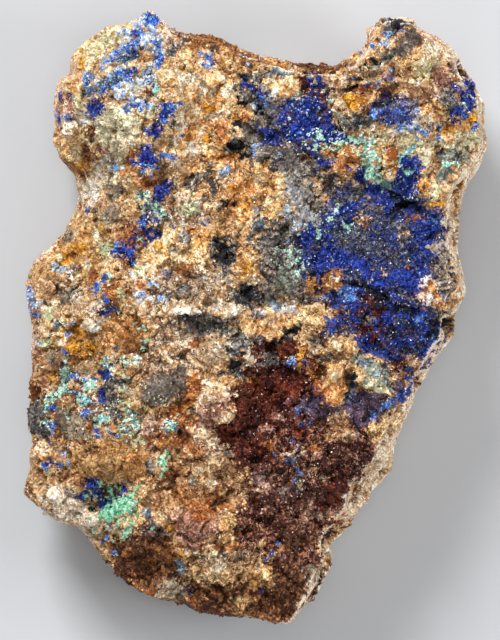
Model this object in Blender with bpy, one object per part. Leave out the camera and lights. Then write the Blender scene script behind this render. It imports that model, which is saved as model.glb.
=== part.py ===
"""Metazeunerite specimen: a broken lump of iron-stained rock that lies on its back.

Crusts of blue azurite and green metazeunerite crystals grow on its upper face.
Lengths are in millimetres. X points to the right of the face, Y to its upper end and Z up,
out of the face. The origin is under the middle of the lump, on the surface that it lies on.
"""

import math
from collections import namedtuple

import bmesh
import bpy
from mathutils import Matrix, Vector, noise
from mathutils.geometry import delaunay_2d_cdt

METRES = 0.001

# The lump's main heights: its face, and the wave of its widest line about the heights below
FACE_HEIGHT = 24.0
WAIST_WAVE = 4.0
WAIST_WAVE_SIZE = 13.0

# Widest outline of the lump, clockwise from the peak of its upper left lobe
OUTLINE = [
    (-15.4, 45.0), (-14.0, 43.7), (-12.4, 42.2), (-10.1, 41.5), (-5.1, 41.2), (-2.9, 39.7),
    (0.7, 38.3), (5.1, 37.5), (9.5, 37.0), (11.9, 36.8), (14.2, 37.9), (16.8, 40.4),
    (17.1, 42.5), (18.9, 44.0), (22.7, 44.0), (24.0, 42.2), (27.8, 40.3), (29.6, 38.3),
    (31.3, 35.2), (33.5, 31.5), (33.4, 28.9), (34.0, 25.2), (33.2, 23.0), (31.4, 20.4),
    (30.5, 18.2), (29.9, 15.0), (29.9, 8.4), (30.7, 5.5), (30.7, 3.4), (29.4, 0.9),
    (29.3, -1.5), (28.5, -3.3), (26.4, -5.9), (24.4, -9.3), (23.1, -12.1), (21.8, -15.3), (20.5, -18.3),
    (19.9, -22.3), (18.6, -24.1), (16.4, -26.3), (14.5, -28.9), (13.5, -31.1), (11.3, -32.9),
    (10.9, -34.4), (11.0, -36.2), (9.7, -39.0), (8.8, -40.8), (6.8, -42.5), (5.0, -44.9),
    (3.2, -45.0), (0.0, -44.1), (-5.1, -43.7), (-8.8, -43.1), (-10.2, -41.9), (-13.9, -41.5),
    (-16.6, -40.7), (-19.1, -38.8), (-20.3, -37.3), (-21.9, -36.2), (-24.3, -32.5), (-25.9, -30.5),
    (-29.3, -29.9),
    (-31.2, -28.2), (-34.0, -26.0), (-33.3, -23.8), (-32.8, -21.9), (-33.0, -20.1), (-32.2, -18.3),
    (-33.4, -15.7), (-33.2, -12.1), (-32.5, -8.4), (-32.8, -4.8), (-32.6, -1.1), (-33.5, 1.8),
    (-33.7, 5.2), (-32.6, 7.7), (-30.4, 9.9), (-27.8, 12.8), (-25.8, 16.2), (-25.6, 18.4),
    (-26.3, 21.3), (-28.5, 23.8), (-29.3, 26.7), (-29.3, 31.1), (-28.8, 34.8), (-26.9, 35.9),
    (-26.8, 38.4), (-23.9, 41.2), (-21.6, 42.4), (-19.0, 42.9), (-16.6, 44.0),
]
STATION_SPACING = 2.3

# Rim of the face near a place on the outline: how far it lies inside the outline, how deep the
# face rolls down to it and over what width, and the height of the widest line of the wall there
RimAnchor = namedtuple("RimAnchor", "x y inset roll_depth roll_width waist_height")
RIM_ANCHORS = [
    RimAnchor(-15.4, 45.0, 0.9, 3.0, 6.0, 13.0),
    RimAnchor(-3.0, 40.0, 1.8, 2.5, 5.0, 9.0),
    RimAnchor(9.5, 37.0, 1.8, 1.5, 4.0, 8.0),
    RimAnchor(20.0, 44.0, 1.0, 2.5, 5.0, 13.0),
    RimAnchor(30.5, 37.0, 1.4, 3.0, 6.0, 14.0),
    RimAnchor(33.5, 26.0, 1.6, 2.5, 5.0, 12.0),
    RimAnchor(30.0, 15.0, 2.6, 1.5, 4.0, 7.0),
    RimAnchor(30.5, 4.0, 2.6, 1.5, 3.0, 9.0),
    RimAnchor(25.0, -8.0, 1.7, 1.2, 3.0, 8.0),
    RimAnchor(20.5, -17.0, 2.4, 1.2, 3.0, 9.5),
    RimAnchor(19.0, -23.5, 4.4, 1.2, 3.0, 7.0),
    RimAnchor(14.5, -29.0, 2.8, 1.5, 4.0, 8.0),
    RimAnchor(10.0, -37.0, 2.0, 2.0, 5.0, 9.0),
    RimAnchor(3.0, -45.0, 0.8, 3.5, 8.0, 9.0),
    RimAnchor(-14.0, -41.5, 0.8, 4.0, 9.0, 8.0),
    RimAnchor(-25.0, -31.0, 0.9, 4.5, 9.0, 9.0),
    RimAnchor(-34.0, -25.0, 1.0, 6.0, 10.0, 11.0),
    RimAnchor(-33.0, -8.0, 1.8, 7.0, 12.0, 8.5),
    RimAnchor(-33.5, 4.0, 2.2, 7.0, 12.0, 8.0),
    RimAnchor(-26.0, 17.0, 2.0, 5.5, 9.0, 7.0),
    RimAnchor(-29.0, 30.0, 1.6, 4.5, 8.0, 11.0),
]

# Oval forms of the face: centre, half lengths, turn in degrees and height
Oval = namedtuple("Oval", "x y half_width half_length turn height")

# Broad swells, and the hollows and pits with a height below zero
SWELLS = [
    Oval(-18.3, 33.3, 13.0, 12.0, 0.0, 3.0),
    Oval(24.1, 34.7, 12.0, 11.0, 0.0, 3.2),
    Oval(-10.0, -30.0, 14.0, 10.0, 0.0, 1.2),
    Oval(-18.0, -9.0, 9.0, 8.0, 0.0, 1.4),
    Oval(-25.6, 18.7, 9.0, 8.0, 30.0, -3.4),
    Oval(-5.1, 24.5, 13.0, 13.0, 0.0, -1.0),
    Oval(16.8, 12.8, 15.0, 11.0, -20.0, -1.5),
    Oval(2.2, -12.0, 8.0, 7.0, 0.0, -1.2),
    Oval(-22.0, -26.0, 6.0, 3.6, 15.0, -2.8),
    Oval(-4.8, 11.3, 3.6, 5.0, 0.0, -1.3),
    Oval(22.6, 15.6, 3.4, 2.2, 20.0, -2.2),
    Oval(-1.9, 24.7, 3.8, 2.0, 0.0, -1.2),
    Oval(-1.3, 31.1, 3.0, 5.0, 0.0, -0.9),
    Oval(-5.8, 19.8, 2.8, 3.6, 20.0, -1.0),
    Oval(1.6, 2.6, 5.6, 2.4, 0.0, -1.2),
    Oval(-21.2, -10.6, 2.2, 3.4, 0.0, -1.2),
    Oval(-15.4, -36.2, 5.6, 4.0, 15.0, -1.2),
    Oval(4.4, -30.7, 6.4, 5.0, 0.0, -1.0),
]

# Nodules, clasts and lumps that stand out of the face
NODULES = [
    Oval(11.4, 4.6, 2.0, 1.7, 20.0, 1.6),
    Oval(25.9, 18.7, 2.6, 2.2, 0.0, 1.8),
    Oval(13.9, 31.0, 1.9, 1.9, 0.0, 1.2),
    Oval(19.5, 22.3, 2.2, 2.0, 0.0, 1.3),
    Oval(13.9, 22.6, 2.0, 1.6, 0.0, 1.2),
    Oval(25.6, 4.0, 2.8, 3.4, -20.0, 1.0),
    Oval(7.6, -0.6, 3.4, 2.4, 20.0, 1.5),
    Oval(13.2, -4.0, 2.6, 2.2, 0.0, 1.9),
    Oval(11.0, -9.9, 2.2, 4.0, -15.0, 2.0),
    Oval(17.6, -8.4, 4.0, 2.6, -25.0, 1.7),
    Oval(-1.5, -4.8, 2.0, 1.8, 0.0, 1.2),
    Oval(-5.9, -4.0, 3.6, 2.8, 0.0, 1.3),
    Oval(-4.4, -12.1, 4.2, 3.4, 15.0, 1.5),
    Oval(-14.6, -10.6, 4.6, 3.6, 20.0, 1.6),
    Oval(-8.0, 0.4, 6.6, 1.6, 5.0, 1.4),
    Oval(-24.5, 1.0, 4.0, 2.4, 30.0, 1.2),
    Oval(-28.0, -15.0, 3.4, 4.6, 10.0, 1.5),
    Oval(-22.5, -20.0, 5.0, 2.4, -20.0, 1.2),
    Oval(-5.1, -37.0, 3.4, 2.4, 10.0, 1.4),
    Oval(-13.2, -39.4, 3.0, 2.0, 20.0, 1.2),
    Oval(-27.4, -27.6, 6.4, 1.5, -28.0, 1.8),
    Oval(7.6, -36.0, 2.0, 2.0, 0.0, 1.0),
    Oval(-4.6, 16.8, 2.4, 1.6, 30.0, 1.2),
    Oval(-19.0, 17.0, 3.6, 7.5, 20.0, 1.4),
    Oval(-12.2, 33.0, 1.5, 9.0, 5.0, 1.3),
    Oval(13.2, 31.4, 1.6, 4.6, 10.0, 0.9),
    Oval(22.5, 38.6, 5.0, 2.6, -10.0, 1.6),
]
NODULE_STEEPNESS = 4

# Ledges of the face: a line whose left side, seen along it, is the high one, how far the
# right side drops, and over what distance the drop fades out
Ledge = namedtuple("Ledge", "line depth fade")
LEDGES = [
    Ledge([(11.9, 36.8), (12.7, 33.3), (13.3, 29.5), (14.2, 27.4), (17.6, 25.8), (18.1, 23.0),
           (20.3, 19.7), (24.4, 17.2), (28.0, 16.3)], 2.6, 14.0),
    Ledge([(5.1, 7.2), (9.2, 5.6), (13.2, 5.2), (17.1, 3.7), (21.2, 1.4), (25.6, 0.2), (30.3, -1.2)],
          1.8, 12.0),
    Ledge([(-12.7, 0.5), (-7.3, -0.1), (-1.9, -0.1)], 1.0, 6.0),
    Ledge([(1.0, -5.0), (2.5, -3.3), (4.8, -1.7), (6.9, -1.4)], 1.4, 8.0),
    Ledge([(-30.7, -25.2), (-26.3, -27.1), (-23.4, -29.6), (-21.5, -32.0)], 1.6, 7.0),
    Ledge([(-23.9, 28.6), (-23.6, 26.0), (-25.0, 24.2)], 1.8, 4.0),
    Ledge([(-26.0, 17.5), (-22.7, 14.9), (-20.0, 11.0)], 1.5, 8.0),
]
LEDGE_RISE_WIDTH = 0.9
LEDGE_END_WIDTH = 3.0

# Grooves of the face: a line, the depth and the half width
Groove = namedtuple("Groove", "line depth half_width")
GROOVES = [
    Groove([(-14.6, 40.0), (-14.3, 31.0), (-15.0, 24.0), (-14.2, 18.5), (-15.4, 13.0), (-18.8, 8.8)],
           1.4, 1.9),
    Groove([(2.0, 13.5), (5.8, 11.2), (6.4, 7.6)], 0.8, 1.4),
]

# Broken rock: the size and slope of the flat facets of the face, the walls and the underside,
# and the size and height of a finer roughness
Facets = namedtuple("Facets", "size slope")
FACE_FACETS = [Facets(11.0, 0.17), Facets(4.6, 0.26)]
WALL_FACETS = [Facets(10.0, 0.36), Facets(5.0, 0.34)]
UNDERSIDE_FACETS = [Facets(12.0, 0.15)]
FACET_TILT_SEED = 7.3
AXIS_SHIFT = Vector((17.3, 31.7, 53.1))
ROUGHNESS_SIZE = 2.2
ROUGHNESS_HEIGHT = 0.22

# Spacing of the points of the face and of the underside, and how far they are shifted and
# kept apart, as shares of the spacing. Points nearer than the last distance count as one
FACE_SPACING = 1.6
NODULE_POINT_SPACING = 1.7
NODULE_POINT_REACHES = (1.04, 0.62)
FEWEST_NODULE_POINTS = 5
UNDERSIDE_SPACING = 3.0
POINT_SHIFT = 0.22
POINT_SHIFT_SEED = 3.1
POINT_CLEARANCE = 0.62
SAME_POINT = 0.0001

# Walls: rings of points between the rim and the widest line, and from there to the underside
UPPER_WALL_RINGS = 5
LOWER_WALL_RINGS = 5
UPPER_WALL_BULGE = 0.8
WALL_CHIP_DEPTH = 0.9
WALL_CHIP_FADE = 0.5

# Underside: its outline is the lump's own, smoothed and smaller, and it has shallow hollows
# away from its flat middle
UNDERSIDE_SCALE = 0.84
UNDERSIDE_SCALE_WAVE = 0.07
UNDERSIDE_SMOOTHING = 60
UNDERSIDE_HOLLOW_SIZE = 17.0
UNDERSIDE_HOLLOW_DEPTH = 2.6
UNDERSIDE_FLAT_RADIUS = 9.0

# Crusts lie this far over the rock, thin at their edge and thicker inside, under low crystals
CRUST_GAP = 0.3
CRUST_EDGE_THICKNESS = 0.35
CRUST_THICKNESS = 0.65
CRYSTAL_HEIGHT = 0.5
CRYSTAL_HEIGHT_WAVE = 0.35
CRYSTAL_WAVE_SIZE = 0.4
CRUST_SPACING = 1.5
ON_LINE = 0.01

CRUSTS = {
    "azurite_field": [
        (7.0, 13.1), (9.2, 15.0), (11.3, 18.4), (13.9, 20.1), (16.5, 18.5), (19.9, 16.8),
        (22.0, 14.2), (26.8, 14.0), (27.2, 10.6), (26.5, 8.1), (23.9, 7.2), (22.2, 4.8),
        (18.8, 4.6), (16.5, 5.4), (13.6, 6.8), (10.1, 6.8), (7.8, 6.9), (6.4, 9.4)],
    "azurite_lower_field": [
        (14.2, 3.2), (17.6, 2.0), (21.5, 0.0), (24.6, -0.8), (26.4, -2.6), (24.6, -4.8),
        (21.2, -6.2), (19.4, -5.4), (16.8, -4.0), (16.4, -1.6), (13.6, 0.0)],
    "azurite_upper_field": [
        (3.5, 29.2), (4.8, 31.2), (7.0, 32.1), (8.3, 34.2), (10.2, 34.2), (11.0, 31.8),
        (11.4, 29.0), (11.4, 26.2), (9.8, 25.0), (8.3, 24.2), (6.6, 25.1), (4.8, 26.3), (3.7, 27.7)],
    "azurite_lobe_patch": [
        (28.4, 34.0), (29.8, 34.2), (30.8, 33.0), (31.2, 31.2), (30.8, 29.2), (29.6, 27.8),
        (28.2, 28.4), (28.4, 30.4)],
    "azurite_crest_streak": [
        (-22.4, 36.5), (-20.9, 38.6), (-19.8, 40.2), (-17.7, 40.6), (-16.8, 39.7), (-18.3, 38.4),
        (-20.0, 37.4), (-21.5, 36.2)],
    "azurite_brow_streak": [
        (-24.7, 33.3), (-22.7, 33.9), (-20.9, 35.0), (-19.5, 36.2), (-17.7, 35.9), (-17.7, 34.8),
        (-19.8, 33.6), (-21.5, 32.4), (-23.9, 31.8)],
    "azurite_seam_top": [(-14.7, 30.9), (-12.6, 31.6), (-11.6, 29.4), (-12.6, 28.2), (-14.4, 28.4)],
    "azurite_seam_middle": [(-16.7, 24.2), (-15.7, 24.7), (-14.3, 23.3), (-14.0, 21.4), (-15.4, 20.3),
                            (-16.6, 21.3)],
    "azurite_seam_lower": [
        (-15.4, 15.6), (-14.0, 15.2), (-14.2, 13.2), (-15.4, 11.4), (-17.0, 9.7), (-18.0, 8.4),
        (-19.5, 8.2), (-20.6, 9.6), (-20.2, 11.2), (-18.0, 11.8), (-17.0, 13.8)],
    "metazeunerite_rim": [
        (15.1, 25.0), (16.6, 24.9), (17.1, 22.3), (18.6, 20.4), (17.9, 19.0), (16.4, 20.0),
        (15.3, 21.6), (14.9, 23.4)],
    "metazeunerite_field_edge": [(2.4, 9.6), (4.6, 10.2), (5.6, 8.6), (7.0, 5.6), (5.6, 4.6), (3.6, 6.6)],
    "metazeunerite_seam": [(-17.0, 18.0), (-15.4, 18.6), (-14.8, 17.2), (-16.4, 16.2), (-17.7, 16.6)],
    "metazeunerite_left_cluster": [(-19.9, -16.4), (-18.9, -14.3), (-17.6, -13.2), (-16.6, -14.2),
                                   (-17.0, -16.2), (-18.1, -17.4), (-19.4, -17.6)],
    "metazeunerite_streak": [(-14.3, -22.9), (-14.1, -20.4), (-13.2, -19.4), (-12.4, -20.5),
                             (-12.8, -22.0), (-13.6, -23.2)],
    "pocket_crust": [
        (-26.2, -26.0), (-25.0, -24.9), (-23.4, -23.8), (-21.6, -24.4), (-19.2, -24.7), (-17.2, -24.6),
        (-17.2, -26.6), (-18.3, -28.7), (-20.2, -29.6), (-22.0, -29.0), (-22.8, -27.4), (-24.6, -26.9)],
}

# Materials: base colour, metallic value, roughness
MATERIALS = {
    "matrix": ((0.42, 0.24, 0.12, 1.0), 0.0, 0.85),
    "azurite": ((0.02, 0.045, 0.28, 1.0), 0.0, 0.35),
    "metazeunerite": ((0.25, 0.62, 0.42, 1.0), 0.0, 0.4),
}


def smoothstep(value):
    """Ease from 0 to 1 as the value goes from 0 to 1."""
    value = min(max(value, 0.0), 1.0)
    return value * value * (3.0 - 2.0 * value)


def divide_loop(points, spacing):
    """Keep the corners of a closed outline and divide its long edges."""
    result = []
    for start, end in zip(points, points[1:] + points[:1]):
        start, end = Vector(start), Vector(end)
        parts = max(1, round((end - start).length / spacing))
        result += [start.lerp(end, part / parts) for part in range(parts)]
    return result


def smooth_loop(points, times):
    """Pull each point of a closed loop to the middle of its neighbours, several times."""
    count = len(points)
    for _ in range(times):
        points = [(points[i - 1] + 2.0 * points[i] + points[(i + 1) % count]) / 4.0 for i in range(count)]
    return points


def inward_normals(points):
    """Smoothed directions into a clockwise loop."""
    count = len(points)
    normals = []
    for i in range(count):
        along = points[(i + 2) % count] - points[i - 2]
        normals.append(Vector((along.y, -along.x)).normalized())
    return [normal.normalized() for normal in smooth_loop(normals, 2)]


def segment_distance(point, start, end):
    """Distance from a point to a segment, how far along it the nearest place is, and its side."""
    along = end - start
    share = min(max((point - start).dot(along) / along.length_squared, 0.0), 1.0)
    offset = point - start.lerp(end, share)
    side = along.x * offset.y - along.y * offset.x
    return offset.length, share, side


def loop_distance(point, loop):
    """Distance from a point to a closed loop."""
    return min(segment_distance(point, start, end)[0] for start, end in zip(loop, loop[1:] + loop[:1]))


def inside(point, loop):
    """Whether a point lies within a closed loop."""
    crossings = 0
    for start, end in zip(loop, loop[1:] + loop[:1]):
        if (start.y > point.y) != (end.y > point.y):
            reach = start.x + (point.y - start.y) * (end.x - start.x) / (end.y - start.y)
            crossings += reach > point.x
    return crossings % 2 == 1


def rim_near(point):
    """The rim's values near a point, blended from its anchors."""
    weights = [1.0 / (1.0 + (point - Vector((anchor.x, anchor.y))).length_squared) ** 2
               for anchor in RIM_ANCHORS]
    total = sum(weights)
    return RimAnchor(*(sum(weight * value for weight, value in zip(weights, column)) / total
                       for column in zip(*RIM_ANCHORS)))


def oval_reach(point, oval):
    """How far a point lies from the middle of an oval form: 0 at its centre and 1 at its edge."""
    turn = math.radians(oval.turn)
    offset = point - Vector((oval.x, oval.y))
    across = offset.x * math.cos(turn) + offset.y * math.sin(turn)
    along = offset.y * math.cos(turn) - offset.x * math.sin(turn)
    return min(math.hypot(across / oval.half_width, along / oval.half_length), 1.0)


def oval_height(point):
    """Height that the swells, the hollows and the nodules add at a point of the face."""
    swells = sum(oval.height * (1.0 - oval_reach(point, oval) ** 2) ** 2 for oval in SWELLS)
    nodules = sum(oval.height * (1.0 - oval_reach(point, oval) ** NODULE_STEEPNESS) for oval in NODULES)
    return swells + nodules


def nearest_on_line(point, corners):
    """Distance from a point to a line of corners, and the side of the line that it lies on."""
    nearest = min(segment_distance(point, start, end) for start, end in zip(corners, corners[1:]))
    return nearest[0], nearest[2]


def fade_past_ends(point, corners):
    """1 beside a line of corners, falling to 0 past its ends."""
    past_start = (point - corners[0]).dot((corners[1] - corners[0]).normalized())
    past_end = (point - corners[-1]).dot((corners[-2] - corners[-1]).normalized())
    return smoothstep(1.0 + past_start / LEDGE_END_WIDTH) * smoothstep(1.0 + past_end / LEDGE_END_WIDTH)


def ledge_drop(point, ledge):
    """How far a point lies below the high side of a ledge."""
    corners = [Vector(corner) for corner in ledge.line]
    distance, side = nearest_on_line(point, corners)
    if side > 0.0:
        return 0.0
    drop = smoothstep(distance / LEDGE_RISE_WIDTH) * (1.0 - smoothstep(distance / ledge.fade))
    return ledge.depth * drop * fade_past_ends(point, corners)


def groove_drop(point, groove):
    """How far a point lies down in a groove."""
    corners = [Vector(corner) for corner in groove.line]
    distance, _ = nearest_on_line(point, corners)
    return groove.depth * (1.0 - smoothstep(distance / groove.half_width))


def noise_vector(place):
    """Three noise values at a place, each read a fixed shift away from the one before."""
    return Vector([noise.noise(place + AXIS_SHIFT * axis) for axis in range(3)])


def fracture(point, facets):
    """Height of the flat broken facets and of the fine roughness at a point in space."""
    height = ROUGHNESS_HEIGHT * noise.noise(point / ROUGHNESS_SIZE)
    for size, slope in facets:
        centre = noise.voronoi(point / size)[1][0]
        tilt = noise_vector(centre * FACET_TILT_SEED).normalized()
        height += slope * size * (point / size - centre).dot(tilt)
    return height


def face_height(point, rim):
    """Height of the upper face at a point."""
    near = rim_near(point)
    edge = loop_distance(point, rim)
    height = FACE_HEIGHT - near.roll_depth * (1.0 - smoothstep(edge / near.roll_width))
    height += oval_height(point)
    height -= sum(ledge_drop(point, ledge) for ledge in LEDGES)
    height -= sum(groove_drop(point, groove) for groove in GROOVES)
    return height + fracture(Vector((point.x, point.y, height)), FACE_FACETS)


def underside_height(point):
    """Height of the underside over the surface: flat where the lump rests, with shallow hollows."""
    wave = noise.noise(Vector((point.x, point.y, 0.0)) / UNDERSIDE_HOLLOW_SIZE)
    hollow = UNDERSIDE_HOLLOW_DEPTH * wave + fracture(Vector((point.x, point.y, 0.0)), UNDERSIDE_FACETS)
    away_from_middle = smoothstep(point.length / UNDERSIDE_FLAT_RADIUS - 1.0)
    return max(0.0, hollow) * away_from_middle


def nodule_points():
    """Points on the foot and on the shoulder of each nodule, so that its form is crisp."""
    points = []
    for oval in NODULES:
        turn = Matrix.Rotation(math.radians(oval.turn), 2)
        for reach in NODULE_POINT_REACHES:
            around = 2.0 * math.pi * reach * math.hypot(oval.half_width, oval.half_length) / math.sqrt(2.0)
            count = max(FEWEST_NODULE_POINTS, round(around / NODULE_POINT_SPACING))
            for step in range(count):
                angle = 2.0 * math.pi * step / count
                offset = Vector((oval.half_width * math.cos(angle), oval.half_length * math.sin(angle)))
                points.append(Vector((oval.x, oval.y)) + turn @ (offset * reach))
    return points


def thin_out(points, loops, spacing):
    """Leave out points that lie too near an earlier one or a loop."""
    kept = []
    for point in points:
        clear = all((point - other).length > spacing * POINT_CLEARANCE for other in kept)
        if clear and all(loop_distance(point, loop) > spacing * POINT_CLEARANCE for loop in loops):
            kept.append(point)
    return kept


def scattered_points(loop, spacing):
    """Points in rows a spacing apart within a loop, each shifted a little."""
    left, right = min(p.x for p in loop), max(p.x for p in loop)
    low, high = min(p.y for p in loop), max(p.y for p in loop)
    row_height = spacing * math.sqrt(3.0) / 2.0
    points = []
    for row in range(int((high - low) / row_height) + 1):
        for column in range(int((right - left) / spacing) + 1):
            place = Vector((left + (column + row % 2 / 2.0) * spacing, low + row * row_height))
            shift = noise_vector(place.to_3d() * POINT_SHIFT_SEED)
            place += shift.xy * spacing * POINT_SHIFT
            if inside(place, loop):
                points.append(place)
    return points


def middle_of(verts, corners):
    """Middle of a face's corners."""
    return sum((verts[i] for i in corners), Vector((0.0, 0.0))) / len(corners)


def fill_loop(loop, inner_loops, first_points, spacing):
    """Triangles within a loop that keep the loop's and the inner loops' edges.

    Returns the points, the triangles, and for each point of the loop its place in the points.
    """
    points = []
    edges = []
    for ring in [loop] + inner_loops:
        first = len(points)
        points += ring
        edges += [(first + i, first + (i + 1) % len(ring)) for i in range(len(ring))]
    inner_points = [point for point in first_points if inside(point, loop)]
    inner_points += scattered_points(loop, spacing)
    points += thin_out(inner_points, [loop] + inner_loops, spacing)
    triangles_within = 1
    verts, _, faces, origins, _, _ = delaunay_2d_cdt(points, edges, [], triangles_within, SAME_POINT)
    faces = [corners for corners in faces if inside(middle_of(verts, corners), loop)]
    place_of = {source: index for index, sources in enumerate(origins) for source in sources}
    return verts, faces, [place_of[i] for i in range(len(loop))]


def ring_between(start_ring, end_ring, height_share, across_share):
    """A ring of the wall part of the way from one ring to another, chipped by broken facets."""
    ring = []
    for start, end in zip(start_ring, end_ring):
        place = start.lerp(end, across_share)
        place.z = start.z + (end.z - start.z) * height_share
        ring.append(place)
    strength = math.sin(math.pi * height_share) ** WALL_CHIP_FADE
    normals = inward_normals([point.xy for point in ring])
    for point, normal in zip(ring, normals):
        depth = max(strength * (WALL_CHIP_DEPTH + fracture(point, WALL_FACETS)), 0.0)
        point.xy += normal * depth
    return ring


def widest_ring(waist):
    """The lump's widest line, which rises and falls along its walls."""
    ring = []
    for place in waist:
        wave = WAIST_WAVE * noise.noise(place.to_3d() / WAIST_WAVE_SIZE)
        ring.append(Vector((place.x, place.y, rim_near(place).waist_height + wave)))
    return ring


def underside_loop(waist):
    """Outline of the underside: the lump's own, rounder and smaller."""
    loop = []
    for place in smooth_loop(waist, UNDERSIDE_SMOOTHING):
        wave = UNDERSIDE_SCALE_WAVE * noise.noise(place.to_3d() / WAIST_WAVE_SIZE)
        loop.append(place * (UNDERSIDE_SCALE + wave))
    return loop


def wall_rings(rim_ring, waist_ring, under_ring):
    """The rings of points of the wall, from below the rim to above the underside."""
    rings = []
    for step in range(1, UPPER_WALL_RINGS):
        share = step / UPPER_WALL_RINGS
        rings.append(ring_between(rim_ring, waist_ring, share, share ** UPPER_WALL_BULGE))
    rings.append(waist_ring)
    for step in range(1, LOWER_WALL_RINGS):
        share = step / LOWER_WALL_RINGS
        rings.append(ring_between(waist_ring, under_ring, share, 1.0 - math.cos(0.5 * math.pi * share)))
    return rings


def join_rings(bm, upper, lower):
    """Triangles between two rings, each quad split along its shorter diagonal."""
    for i in range(len(upper)):
        j = (i + 1) % len(upper)
        quad = [upper[i], upper[j], lower[j], lower[i]]
        if (quad[0].co - quad[2].co).length > (quad[1].co - quad[3].co).length:
            quad = quad[1:] + quad[:1]
        bm.faces.new((quad[0], quad[1], quad[2]))
        bm.faces.new((quad[0], quad[2], quad[3]))


def build_matrix(bm, waist, rim, face):
    """The lump: its face, walls and underside as one closed body. Returns the face's heights."""
    verts, faces, rim_places = face
    heights = [face_height(place, rim) for place in verts]
    top = [bm.verts.new((place.x, place.y, height)) for place, height in zip(verts, heights)]
    for corners in faces:
        bm.faces.new([top[i] for i in corners])

    verts, faces, under_places = fill_loop(underside_loop(waist), [], [], UNDERSIDE_SPACING)
    bottom = [bm.verts.new((place.x, place.y, underside_height(place))) for place in verts]
    for corners in faces:
        bm.faces.new([bottom[i] for i in reversed(corners)])

    rim_verts = [top[i] for i in rim_places]
    under_verts = [bottom[i] for i in under_places]
    middle_rings = wall_rings([vert.co.copy() for vert in rim_verts], widest_ring(waist),
                              [vert.co.copy() for vert in under_verts])
    rings = [rim_verts]
    rings += [[bm.verts.new(point) for point in ring] for ring in middle_rings]
    rings.append(under_verts)
    for upper, lower in zip(rings, rings[1:]):
        join_rings(bm, upper, lower)
    return heights


def crystal_height(place):
    """Height of the low crystal at a place."""
    return CRYSTAL_HEIGHT + CRYSTAL_HEIGHT_WAVE * noise.noise(place.to_3d() / CRYSTAL_WAVE_SIZE)


def build_crust(bm, heights, face, loop):
    """One crust: a thin sheet that follows the rock, with a low crystal on each triangle."""
    verts, faces, _ = face
    chosen = [corners for corners in faces if inside(middle_of(verts, corners), loop)]
    bottom = {}
    top = {}
    for index in sorted({index for corners in chosen for index in corners}):
        place = verts[index]
        at_edge = loop_distance(place, loop) < ON_LINE
        floor = heights[index] + CRUST_GAP
        bottom[index] = bm.verts.new((place.x, place.y, floor))
        roof = floor + (CRUST_EDGE_THICKNESS if at_edge else CRUST_THICKNESS)
        top[index] = bm.verts.new((place.x, place.y, roof))
    edges = set()
    for corners in chosen:
        sides = list(zip(corners, corners[1:] + corners[:1]))
        edges.update(sides)
        middle = middle_of(verts, corners)
        roof = sum(top[i].co.z for i in corners) / len(corners)
        peak = bm.verts.new((middle.x, middle.y, roof + crystal_height(middle)))
        bm.faces.new([bottom[i] for i in reversed(corners)])
        for start, end in sides:
            bm.faces.new((top[start], top[end], peak))
    for start, end in sorted(edges):
        if (end, start) not in edges:
            bm.faces.new((bottom[start], bottom[end], top[end], top[start]))


def make_material(name):
    """A plain material with the part's colour, metallic value and roughness."""
    colour, metallic, roughness = MATERIALS[name]
    material = bpy.data.materials.new(name)
    material.use_nodes = True
    shader = material.node_tree.nodes["Principled BSDF"]
    shader.inputs["Base Color"].default_value = colour
    shader.inputs["Metallic"].default_value = metallic
    shader.inputs["Roughness"].default_value = roughness
    return material


def finish_object(name, bm, material):
    """Turn a body in millimetres into a named object in metres."""
    bmesh.ops.recalc_face_normals(bm, faces=bm.faces)
    bmesh.ops.triangulate(bm, faces=bm.faces)
    bmesh.ops.scale(bm, vec=(METRES, METRES, METRES), verts=bm.verts)
    mesh = bpy.data.meshes.new(name)
    bm.to_mesh(mesh)
    bm.free()
    mesh.materials.append(material)
    bpy.context.scene.collection.objects.link(bpy.data.objects.new(name, mesh))


def crust_material(name):
    """Name of the material of a crust; the pocket's crystals are mostly the green ones."""
    return "azurite" if name.startswith("azurite") else "metazeunerite"


def main():
    for obj in list(bpy.data.objects):
        bpy.data.objects.remove(obj, do_unlink=True)
    materials = {name: make_material(name) for name in MATERIALS}

    waist = divide_loop(OUTLINE, STATION_SPACING)
    rim = [point + normal * rim_near(point).inset for point, normal in zip(waist, inward_normals(waist))]
    loops = {name: divide_loop(points, CRUST_SPACING) for name, points in CRUSTS.items()}
    face = fill_loop(rim, list(loops.values()), nodule_points(), FACE_SPACING)

    matrix = bmesh.new()
    heights = build_matrix(matrix, waist, rim, face)
    finish_object("matrix", matrix, materials["matrix"])
    for name, loop in loops.items():
        crust = bmesh.new()
        build_crust(crust, heights, face, loop)
        finish_object(name, crust, materials[crust_material(name)])


main()
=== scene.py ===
"""Looks of a metazeunerite specimen: granular stained rock with blue and green crystals.

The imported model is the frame. Two fine meshes, the rock's face and its sides, replace the node of the
matrix, and joined meshes of small crystals replace the crusts. Lengths are in millimetres until a mesh
is made. Places on the face are also given as on a picture of it, in pixels, y running down.
"""

import functools
import itertools
import math
from collections import namedtuple

import bmesh
import bpy
import numpy as np
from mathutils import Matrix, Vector
from mathutils.bvhtree import BVHTree


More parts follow.
